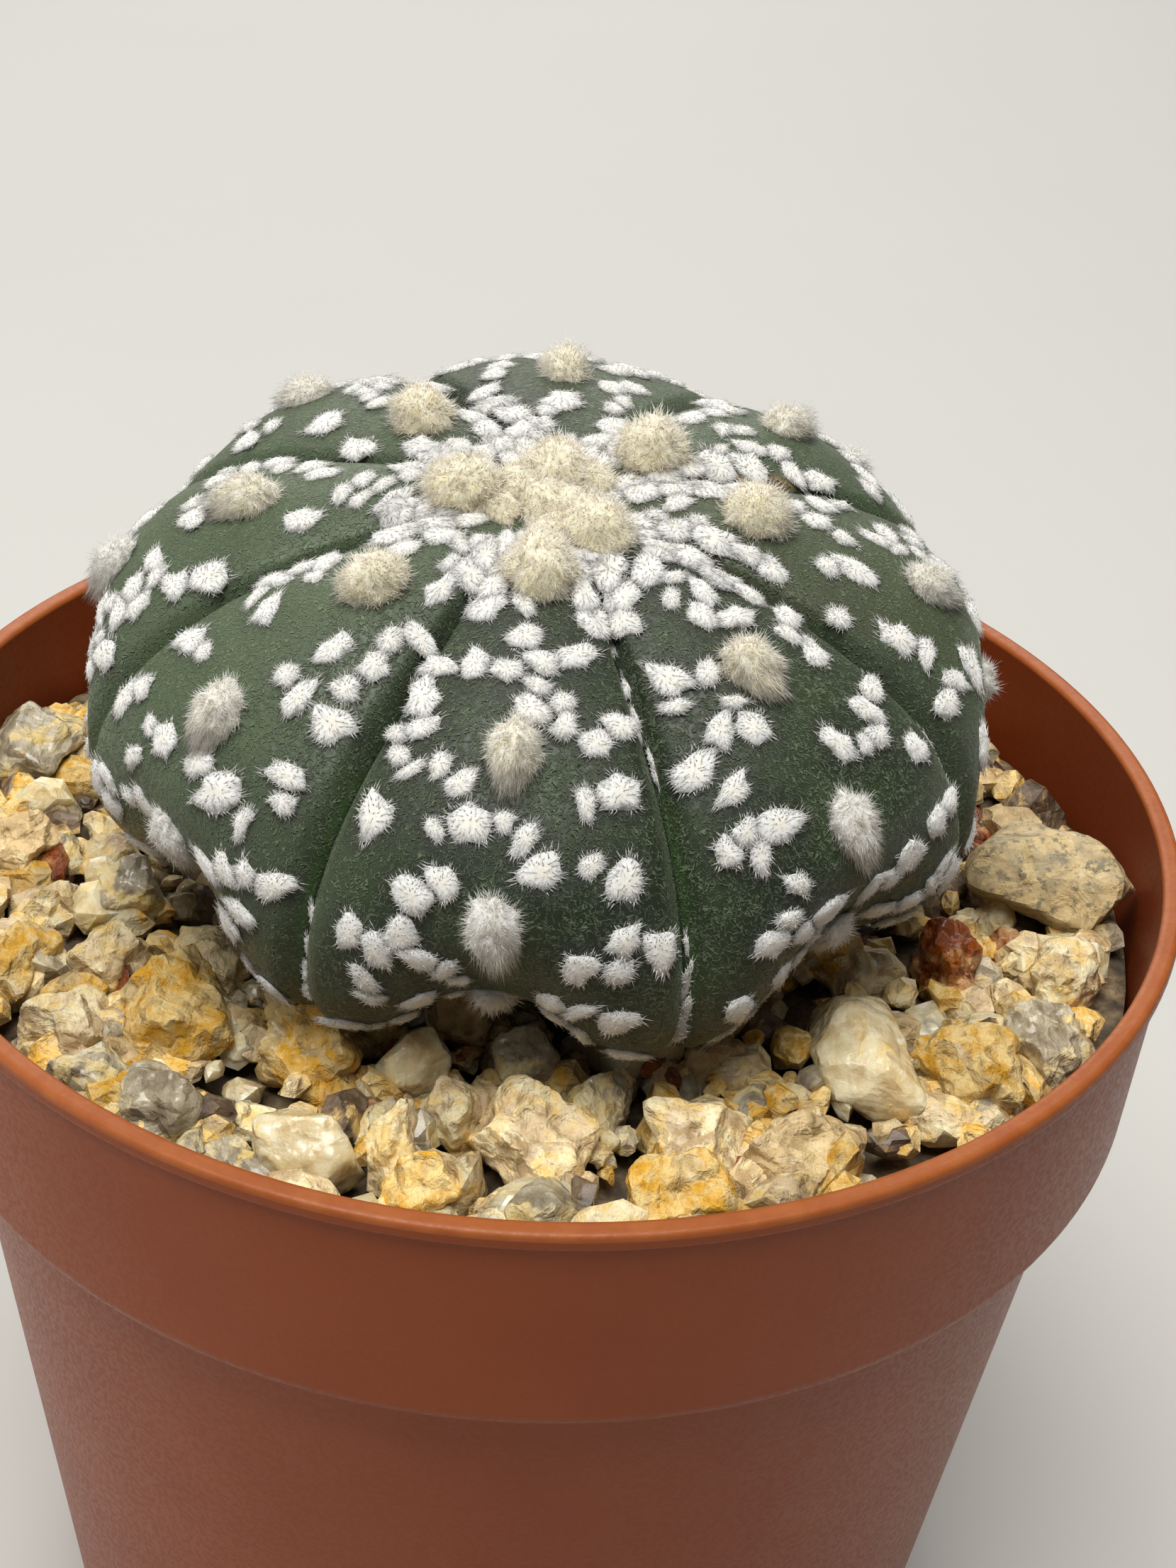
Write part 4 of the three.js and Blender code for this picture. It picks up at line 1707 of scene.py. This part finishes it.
BIG_STONES = (
    BigStone(-1, 36.8, (13.4, 9.6, 8.2), -3, 3.2, StoneKind.SPECKLED),
    BigStone(-20, 30.5, (7, 5.6, 8.6), 90, 1.6, StoneKind.RED),
    BigStone(-44, 30.5, (11.6, 7.6, 7.4), 108, 1.4, StoneKind.QUARTZ),
    BigStone(-37.5, 36.4, (8.6, 7.2, 7.4), 100, 1.4, StoneKind.OCHRE),
    BigStone(-17, 38, (7.4, 5.6, 6.6), 95, 1.2, StoneKind.CREAM),
    BigStone(-28.5, 38.2, (8.4, 5.8, 5.4), 100, 0.5, StoneKind.GREY),
    BigStone(-61.5, 36.1, (9.2, 5.6, 5.4), 40, 0.8, StoneKind.TAN),
    BigStone(-70.5, 32.4, (7.8, 6, 5.8), 10, 0.8, StoneKind.CREAM),
    BigStone(-74.5, 37.2, (8, 6, 5.4), 20, 0.8, StoneKind.OCHRE),
    BigStone(-79.5, 28.4, (5.8, 4.8, 5.2), 80, 0.4, StoneKind.GREY),
    BigStone(-88.5, 31.6, (8.2, 7.6, 6.6), 60, 1.2, StoneKind.CREAM),
    BigStone(-90, 23.2, (5.6, 5.2, 5), 0, 0.2, StoneKind.GREY),
    BigStone(-98, 29.8, (5.8, 4.6, 5), 100, 0.6, StoneKind.CREAM),
    BigStone(-105.5, 25.6, (5.4, 5, 5.2), 30, 0.6, StoneKind.QUARTZ),
    BigStone(-102.5, 33.6, (5.4, 4, 5), 85, 0.5, StoneKind.CREAM),
    BigStone(-98, 36.8, (5.2, 4.6, 4.2), 0, 0.3, StoneKind.OCHRE),
    BigStone(-119, 27.8, (7.4, 6.6, 6.6), -10, 1.2, StoneKind.OCHRE),
    BigStone(-111, 36, (8.4, 5, 5.2), -8, 0.4, StoneKind.QUARTZ),
    BigStone(-136.5, 30.6, (10.6, 8.4, 7.2), 105, 1.6, StoneKind.OCHRE),
    BigStone(-125.5, 37.2, (6.8, 5.2, 5), -15, 0.4, StoneKind.GREY),
    BigStone(-143.5, 25.4, (7, 6.4, 5.6), 0, 0.6, StoneKind.CREAM),
    BigStone(-141, 37.4, (7.2, 5.2, 4.8), -5, 0.6, StoneKind.CREAM),
    BigStone(-133, 38.9, (5.8, 4.6, 4.2), 0, 0.2, StoneKind.GREY),
    BigStone(-150, 31.8, (6.8, 5.4, 5), 75, 0.4, StoneKind.CREAM),
    BigStone(-163.5, 28.6, (6.2, 5.4, 5.2), 0, 0.6, StoneKind.GREY),
    BigStone(-153.5, 37.2, (8.4, 5.8, 5), 80, 0.4, StoneKind.OCHRE),
    BigStone(-175, 36.2, (7, 5.6, 5.4), 10, 0.8, StoneKind.TAN),
    BigStone(166, 38.6, (9.4, 6.6, 6.2), 80, 1.8, StoneKind.GREY),
)


@dataclass
class Gravel:
    """The top dressing: stones by the source's own rule, with finer grit between them."""

    groups: Groups
    body: RibbedBody
    rim_height: float = 78.0
    soil_depth: float = 11.8
    bed_depth: float = 8.0
    bed_sink: float = 0.5
    sunk: float = 0.9
    top_depth: float = 3.9
    slope: float = 0.05
    tries: int = 700
    jitter: float = 1.2
    inner: float = 10.0
    outer: float = 40.6
    lengths: tuple[float, float] = (5.6, 8.6)
    overlap: float = 0.85
    points: int = 11
    blockiness: float = 3.0
    seed: int = 4107
    kind_seed: int = 9
    pile_radius: float = 23.0
    pile_edge: float = 3.0
    pile_rise: float = 3.5
    gap: float = 0.3
    wall: float = 1.4
    rim_radius: float = 45.0
    collar_foot_radius: float = 44.0
    collar_height: float = 16.2
    grit_seed: int = 640
    grit_tries: int = 1300
    grit_reach: float = 42.0
    grit_limit: float = 42.2
    pebbles: int = 14
    pebble_cuts: int = 11
    chip_seed: int = 900
    chips: int = 9
    chip_depth: float = 0.45
    sharp: float = 16.0
    broken_edge: float = 24.0
    pattern_step: float = 7.3
    weights: tuple[tuple[StoneKind, float], ...] = (
        (StoneKind.OCHRE, 0.27),
        (StoneKind.CREAM, 0.27),
        (StoneKind.QUARTZ, 0.12),
        (StoneKind.GREY, 0.14),
        (StoneKind.TAN, 0.12),
        (StoneKind.DARK, 0.05),
        (StoneKind.RED, 0.03),
    )

    def wall_inside(self, z: float) -> float:
        """Gives the inside radius of the collar's wall.

        Args:
            z: the height.

        Returns:
            The radius.
        """
        share = (z - self.rim_height + self.collar_height) / self.collar_height
        widening = self.rim_radius - self.collar_foot_radius
        return self.collar_foot_radius - self.wall + share * widening

    def top(self, x: float, y: float) -> float:
        """Gives the height of the gravel's surface.

        Args:
            x: the place to the right of the pot's axis.
            y: the place behind it.

        Returns:
            The height.
        """
        foot = self.pile_radius - self.pile_edge
        pile = self.pile_rise * (1 - ease(math.hypot(x, y), foot, self.pile_radius))
        return self.rim_height - self.top_depth - self.slope * y + pile

    def seated(self, size: Place, top: float) -> Place:
        """Gives a stone's size, tall enough to reach down into the bed."""
        bed_top = self.rim_height - self.bed_depth
        return size[0], size[1], max(size[2], top - bed_top + self.sunk)

    def kind(self, share: float) -> StoneKind:
        """Picks a kind of stone by the kinds' weights.

        Args:
            share: from 0 to 1, drawn for the stone.

        Returns:
            The kind.
        """
        for kind, weight in self.weights:
            share -= weight
            if share < 0:
                return kind
        return StoneKind.CREAM

    def places(self, stream: Stream) -> list[Stone]:
        """Gives the stones of the solid, in the same order.

        Args:
            stream: the source's own stream.

        Returns:
            The stones.
        """
        stones = []
        for big in BIG_STONES:
            x = big.reach * math.cos(big.bearing * DEGREE)
            y = big.reach * math.sin(big.bearing * DEGREE)
            top = self.top(x, y) + big.lift
            size = self.seated(big.size, top)
            stones.append(Stone(x, y, size, big.turn * DEGREE, top, big.kind))
        kinds = Stream(self.kind_seed)
        for i in range(self.tries):
            reach = self.outer * math.sqrt((i + 0.5) / self.tries)
            x = reach * math.cos(i * GOLDEN_ANGLE) + self.jitter * (2 * stream.draw() - 1)
            y = reach * math.sin(i * GOLDEN_ANGLE) + self.jitter * (2 * stream.draw() - 1)
            length = stream.between(*self.lengths)
            width = length * stream.between(0.68, 0.95)
            turn = 2 * math.pi * stream.draw()
            top = self.top(x, y) - 1.6 * stream.draw()
            kind = self.kind(kinds.draw())
            stone = Stone(x, y, self.seated((length, width, length * 0.8), top), turn, top, kind)
            clear = all(
                math.hypot(s.x - x, s.y - y) > self.overlap * (s.footprint() + stone.footprint())
                for s in stones
            )
            if clear and self.inner < math.hypot(x, y) < self.outer:
                stones.append(stone)
        return stones

    def blank(self, stone: Stone, stream: Stream) -> np.ndarray:
        """Gives the corner points that a stone's solid is the hull of.

        Args:
            stone: the stone.
            stream: the source's own stream.

        Returns:
            One point in each row.
        """
        length, width, height = stone.size
        limit = self.wall_inside(stone.top) - self.gap - 0.15
        low = self.rim_height - self.soil_depth + self.gap + 0.2
        points = []
        for i in range(self.points):
            level = 1 - 2 * (i + 0.5) / self.points
            ring = math.sqrt(1 - level * level)
            around = GOLDEN_ANGLE * i + 1.1 * stream.draw()
            way = (ring * math.cos(around), ring * math.sin(around), level)
            rounded = sum(abs(w) ** self.blockiness for w in way)
            bulk = (0.94 + 0.2 * stream.draw()) / rounded ** (1 / self.blockiness)
            along = length / 2 * way[0] * bulk
            aside = width / 2 * way[1] * bulk
            x = stone.x + along * math.cos(stone.turn) - aside * math.sin(stone.turn)
            y = stone.y + along * math.sin(stone.turn) + aside * math.cos(stone.turn)
            z = max(low, stone.top - height / 2 + height / 2 * way[2] * min(1.0, bulk))
            away = math.hypot(x, y)
            if away > limit:
                x, y = x * limit / away, y * limit / away
            points.append((x, y, z))
        return np.array(points)

    def carve(self, ball: np.ndarray, points: np.ndarray, stream: Stream) -> np.ndarray:
        """Carves a ball to the flat faces of the hull of some points, and chips its corners.

        Args:
            ball: unit directions, one in each row.
            points: the hull's corner points.
            stream: draws the chips.

        Returns:
            The carved places.
        """
        hull = bmesh.new()
        for point in points:
            hull.verts.new(point)
        bmesh.ops.convex_hull(hull, input=hull.verts[:])
        centre = points.mean(axis=0)
        hull.normal_update()
        normals = np.array([f.normal[:] for f in hull.faces])
        offsets = np.array([f.normal.dot(f.verts[0].co - Vector(centre)) for f in hull.faces])
        hull.free()
        normals, offsets = normals * np.sign(offsets)[:, None], np.abs(offsets)
        chips = np.array([stream.three(-1, 1) for _ in range(self.chips)])
        chips /= np.linalg.norm(chips, axis=1)[:, None]
        depths = ((points - centre) @ chips.T).max(axis=0) - self.chip_depth
        normals, offsets = np.vstack([normals, chips]), np.concatenate([offsets, depths])
        steep = np.maximum(ball @ normals.T, 0.02)
        reach = -np.log(np.exp(-self.sharp * offsets / steep).sum(axis=1)) / self.sharp
        return centre + ball * np.maximum(reach, 0.5)[:, None]

    def roughen(self, places: np.ndarray, relief: float, shift: float) -> np.ndarray:
        """Breaks up a carved stone's surface into steps, knobs and pits.

        Args:
            places: its points.
            relief: how rough its kind is.
            shift: moves the pattern for each stone.

        Returns:
            The moved points.
        """
        ways = places - places.mean(axis=0)
        ways /= np.linalg.norm(ways, axis=1)[:, None]
        apart = Vector((shift, 0, 0))
        moves = []
        for place in places:
            where = Vector(place) + apart
            swell = noise.noise(where * 0.34) * 1.6
            facets = 0.55 - noise.voronoi(where * 0.45, distance_metric="MANHATTAN")[0][0]
            chips = 0.4 - noise.voronoi(where * 1.15, distance_metric="MANHATTAN")[0][0]
            knobs = noise.noise(where * 0.9) + 0.6 * noise.noise(where * 2.4)
            moves.append(swell + 1.0 * facets + 0.4 * chips + 0.35 * knobs)
        return places + ways * (np.clip(moves, -2.2, 1.7) * relief)[:, None]

    def stones(
        self, name: str, stones: Sequence[tuple[int, Stone, np.ndarray]], fine: int
    ) -> bpy.types.Object:
        """Makes stones as one piece, with a finish for each kind.

        Args:
            name: the piece's name.
            stones: each stone with its number and its solid's corner points.
            fine: how finely each is divided.

        Returns:
            The piece.
        """
        shape = bmesh.new()
        tone_mark = shape.verts.layers.float.new("tone")
        for number, stone, points in stones:
            stream = Stream(self.chip_seed + number)
            ball = bmesh.ops.create_icosphere(shape, subdivisions=fine, radius=1)["verts"]
            ways = np.array([v.co[:] for v in ball])
            carved = self.carve(ways, points, stream)
            shift = self.pattern_step * number
            carved = self.roughen(carved, stone.kind.value.relief, shift)
            tone = stream.draw()
            for corner, place in zip(ball, carved * MM):
                corner.co = place
                corner[tone_mark] = tone
            for face in {face for corner in ball for face in corner.link_faces}:
                face.material_index = KINDS.index(stone.kind)
        sharpen(shape, self.broken_edge)
        return shape_object(name, shape)

    def pebble(self, stream: Stream) -> bpy.types.Mesh:
        """Makes a small stone one in radius, cut flat on several sides.

        Args:
            stream: draws the cuts.

        Returns:
            The template.
        """
        shape = bmesh.new()
        bmesh.ops.create_icosphere(shape, subdivisions=2, radius=1)
        ways = [Vector(stream.three(-1, 1)).normalized() for _ in range(self.pebble_cuts)]
        cuts = [(way, stream.between(0.66, 0.9)) for way in ways]
        for corner in shape.verts:
            out = corner.co.normalized()
            reach = min(depth / max(out.dot(way), 0.05) for way, depth in cuts)
            lump = 1 + 0.3 * noise.noise(out * 2.4 + ways[0] * 40)
            corner.co = out * min(1.1, reach) * lump
        return template(shape, lambda co: 0)

    def grit(self) -> bpy.types.Object:
        """Makes the smaller stones that fill the gaps, as one piece.

        Returns:
            The piece.
        """
        stream = Stream(self.grit_seed)
        variants = [self.pebble(stream) for _ in range(self.pebbles)]
        shape = bmesh.new()
        for i in range(self.grit_tries):
            reach = self.grit_reach * math.sqrt((i + 0.5) / self.grit_tries)
            around = i * GOLDEN_ANGLE + stream.between(-0.2, 0.2)
            x, y = reach * math.cos(around), reach * math.sin(around)
            radius = 0.7 + 1.3 * stream.draw() ** 2 + 0.7 * ease(reach, 33, 38)
            if reach + radius > self.grit_limit or reach < self.inner:
                continue
            z = self.rim_height - self.bed_depth - self.slope * y * 0.6 + stream.between(0.2, 1.7)
            placing = (
                Matrix.Translation((x, y, z))
                @ Matrix.Rotation(stream.between(0, 2 * math.pi), 4, "Z")
                @ Matrix.Rotation(stream.between(0, 2 * math.pi), 4, "X")
                @ Matrix.Diagonal((radius * 1.2, radius, radius * 0.8, 1))
            )
            kind = KINDS.index(self.kind(stream.draw()))
            join_copy(shape, variants[i % len(variants)], placing, stream.draw(), kind)
        sharpen(shape, self.broken_edge)
        return shape_object("gravel_grit", shape)

    def bed(self) -> bpy.types.Object:
        """Makes the dark bed that shows between the stones.

        Returns:
            The piece.
        """
        floor_z = self.rim_height - self.soil_depth + self.gap
        top_z = self.rim_height - self.bed_depth - self.bed_sink
        reach = self.wall_inside(floor_z) - self.gap
        profile = [(0.0, floor_z), (reach, floor_z)]
        steps = 40
        profile += [(reach * (1 - i / steps), top_z) for i in range(steps + 1)]
        shape = spun(profile, 160)
        for corner in shape.verts:
            if corner.co.z > (floor_z + top_z) / 2 * MM:
                lump = noise.fractal(corner.co * 420, 0.8, 2.0, 4)
                corner.co.z += 0.5 * MM * lump
        return shape_object("gravel_bed", shape)

    def build(self) -> None:
        """Makes and dresses the gravel's pieces."""
        finishes = [kind.value.material(self.groups) for kind in KINDS]
        stream = Stream(self.seed)
        places = self.places(stream)
        cut = [(i, stone, self.blank(stone, stream)) for i, stone in enumerate(places)]
        log.info("stones: %d", len(cut))
        named = len(BIG_STONES)
        large = self.stones("gravel_large", cut[:named], fine=5)
        shown(large, finishes, ["gravel"])
        shown(self.stones("gravel_stones", cut[named:], fine=4), finishes)
        shown(self.grit(), finishes)
        dust = SoilFinish(
            "Grit and soil between the stones",
            dark=(0.07, 0.05, 0.03),
            brown=(0.28, 0.20, 0.11),
        )
        shown(self.bed(), [dust.material(self.groups)])


# The pot


@dataclass
class Pot:
    """The round plastic pot, with softened edges."""

    groups: Groups
    height: float = 78.0
    rim_radius: float = 45.0
    wall: float = 1.4
    lip_height: float = 1.3
    lip_reach: float = 0.5
    collar_height: float = 16.2
    collar_foot_radius: float = 44.0
    step_height: float = 1.8
    body_top_radius: float = 41.4
    body_foot_radius: float = 34.6
    foot_width: float = 4.2
    floor_lift: float = 1.2
    floor_thickness: float = 1.6
    drain_count: int = 8
    drain_radius: float = 3.0
    drain_circle: float = 22.0
    steps: int = 192
    finish: PotFinish = field(default_factory=PotFinish)

    def profile(self) -> list[Place]:
        """Gives the wall's closed profile.

        Returns:
            Radius, height and rounding of each corner.
        """
        collar_z = self.height - self.collar_height
        step_z = collar_z - self.step_height
        floor_z = self.floor_lift + self.floor_thickness
        lip_z = self.height - self.lip_height
        collar_top = self.rim_radius - self.lip_reach
        return [
            (0, self.floor_lift, 0),
            (self.body_foot_radius - self.foot_width - 0.6, self.floor_lift, 0.3),
            (self.body_foot_radius - self.foot_width, 0, 0.4),
            (self.body_foot_radius, 0, 0.7),
            (self.body_top_radius, step_z, 0.5),
            (self.collar_foot_radius, collar_z, 0.7),
            (collar_top, lip_z, 0.12),
            (self.rim_radius, lip_z + 0.15, 0.25),
            (self.rim_radius, self.height, 0.45),
            (self.rim_radius - self.wall, self.height, 0.4),
            (self.collar_foot_radius - self.wall, collar_z, 0.8),
            (self.body_top_radius - self.wall, step_z, 0.8),
            (self.body_foot_radius - self.wall, floor_z, 0.9),
            (0, floor_z, 0),
        ]

    def shell(self) -> bpy.types.Object:
        """Makes the turned shell with its drain holes.

        Returns:
            The piece, with its inner wall and its lip marked.
        """
        shell = shape_object("pot_shell", spun(rounded(self.profile()), self.steps))
        self._drill(shell)
        corners = shell.data.vertices
        wall_top, lip_foot = (self.height - 0.3) * MM, (self.height - 0.5) * MM
        inner = [float(c.co.xy.dot(c.normal.xy) < 0 and c.co.z < wall_top) for c in corners]
        lip = [float(c.co.z > lip_foot and not wall) for c, wall in zip(corners, inner)]
        mark_points(shell, {"inner": inner, "lip": lip})
        return shell

    def _drill(self, shell: bpy.types.Object) -> None:
        """Cuts the drain holes through the floor.

        Args:
            shell: the turned shell.
        """
        cutters = bmesh.new()
        for i in range(self.drain_count):
            around = 2 * math.pi * (i + 0.5) / self.drain_count
            bmesh.ops.create_cone(
                cutters,
                cap_ends=True,
                segments=32,
                radius1=self.drain_radius * MM,
                radius2=self.drain_radius * MM,
                depth=9 * MM,
                matrix=Matrix.Translation(
                    (
                        self.drain_circle * math.cos(around) * MM,
                        self.drain_circle * math.sin(around) * MM,
                        2 * MM,
                    )
                ),
            )
        tool = shape_object("drain_cutters", cutters)
        cut = shell.modifiers.new("drains", "BOOLEAN")
        cut.operation = "DIFFERENCE"
        cut.object = tool
        drilled = bpy.data.meshes.new_from_object(
            shell.evaluated_get(bpy.context.evaluated_depsgraph_get())
        )
        shell.modifiers.clear()
        shell.data = drilled
        bpy.data.objects.remove(tool)

    def build(self) -> None:
        """Makes and dresses the pot."""
        shown(self.shell(), [self.finish.material(self.groups)], ["pot"])


# Stage, light and camera


@dataclass(frozen=True)
class Lamp:
    """A soft square lamp: its name, place and side in metres, and its watts."""

    name: str
    place: Place
    size: float
    watts: float


@dataclass
class Studio:
    """A pale floor under soft light."""

    floor_size_m: float = 8.0
    floor_colour: Colour = (0.52, 0.515, 0.495)
    lamps: tuple[Lamp, ...] = (
        Lamp("overhead", (-0.08, -0.15, 0.84), 0.55, 9.5),
        Lamp("behind", (-0.05, 0.75, 0.5), 0.7, 4.0),
        Lamp("left", (-0.75, -0.16, 0.14), 0.6, 1.7),
    )
    lamp_aim_m: Place = (0, 0.05, 0.06)
    lamp_colour: Colour = (1.0, 0.98, 0.94)
    sky_colour: Colour = (1.0, 0.98, 0.95)
    sky_strength: float = 0.12

    def floor(self) -> None:
        """Lays the floor."""
        shape = bmesh.new()
        bmesh.ops.create_grid(shape, x_segments=2, y_segments=2, size=self.floor_size_m / 2)
        floor = shape_object("floor", shape)
        material, graph, shader = new_material("Pale floor", {"Roughness": 0.85})
        tint = graph.noise(graph.places(), 60.0, 3)
        darker = tuple(c * 0.97 for c in self.floor_colour)
        graph.feed(shader.inputs["Base Color"], graph.mix(tint, darker, self.floor_colour))
        floor.data.materials.append(material)

    def hang(self, lamp: Lamp) -> None:
        """Hangs a lamp and points it at the plant.

        Args:
            lamp: the lamp.
        """
        light = bpy.data.lights.new(lamp.name, "AREA")
        light.energy, light.size, light.color = lamp.watts, lamp.size, self.lamp_colour
        holder = bpy.data.objects.new(lamp.name, light)
        bpy.context.scene.collection.objects.link(holder)
        holder.location = lamp.place
        way = Vector(self.lamp_aim_m) - Vector(lamp.place)
        holder.rotation_euler = way.to_track_quat("-Z", "Y").to_euler()

    def build(self) -> None:
        """Sets up the floor, the lamps and the pale surroundings."""
        self.floor()
        for lamp in self.lamps:
            self.hang(lamp)
        world = bpy.data.worlds.new("surroundings")
        world.use_nodes = True
        sky = world.node_tree.nodes["Background"]
        sky.inputs["Color"].default_value = (*self.sky_colour, 1)
        sky.inputs["Strength"].default_value = self.sky_strength
        bpy.context.scene.world = world
        bpy.context.scene.view_settings.view_transform = "Standard"


@dataclass
class PhotoCamera:
    """The camera at the photograph's angle, fitted to the circles of the pot."""

    place_mm: Place = (0.0, -141.948, 171.407)
    forward: Place = (0.01979, 0.83625, -0.54799)
    upward: Place = (-0.06647, 0.54799, 0.83384)
    focal_pixels: float = 3400.0
    long_side_pixels: float = 2212.0
    sensor_mm: float = 36.0

    def build(self) -> None:
        """Makes the camera and gives it to the scene."""
        data = bpy.data.cameras.new("photo_camera")
        data.sensor_width = self.sensor_mm
        data.sensor_fit = "AUTO"
        data.lens = self.sensor_mm * self.focal_pixels / self.long_side_pixels
        data.clip_start, data.clip_end = 0.01, 20
        camera = bpy.data.objects.new("photo_camera", data)
        bpy.context.scene.collection.objects.link(camera)
        back = -Vector(self.forward).normalized()
        right = Vector(self.upward).cross(back).normalized()
        up = back.cross(right)
        camera.matrix_world = Matrix.Translation(Vector(self.place_mm) * MM) @ Matrix(
            (right, up, back)
        ).transposed().to_4x4()
        bpy.context.scene.camera = camera


def dress_soil(groups: Groups) -> None:
    """Gives the soil's own solid a crumbly finish.

    Args:
        groups: the shared node groups.
    """
    finish = SoilFinish().material(groups)
    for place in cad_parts["soil"].material_slots:
        place.material = finish
    log.info("soil: dressed as it is")


def main() -> None:
    """Builds the scene."""
    logging.basicConfig(level=logging.INFO)
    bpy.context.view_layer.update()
    groups = Groups(blotch_group(), fibre_group())
    PhotoCamera().build()
    Studio().build()
    body = RibbedBody()
    Pot(groups).build()
    dress_soil(groups)
    Gravel(groups, body).build()
    Plant(body, groups).build()


if __name__ == "__main__":
    main()
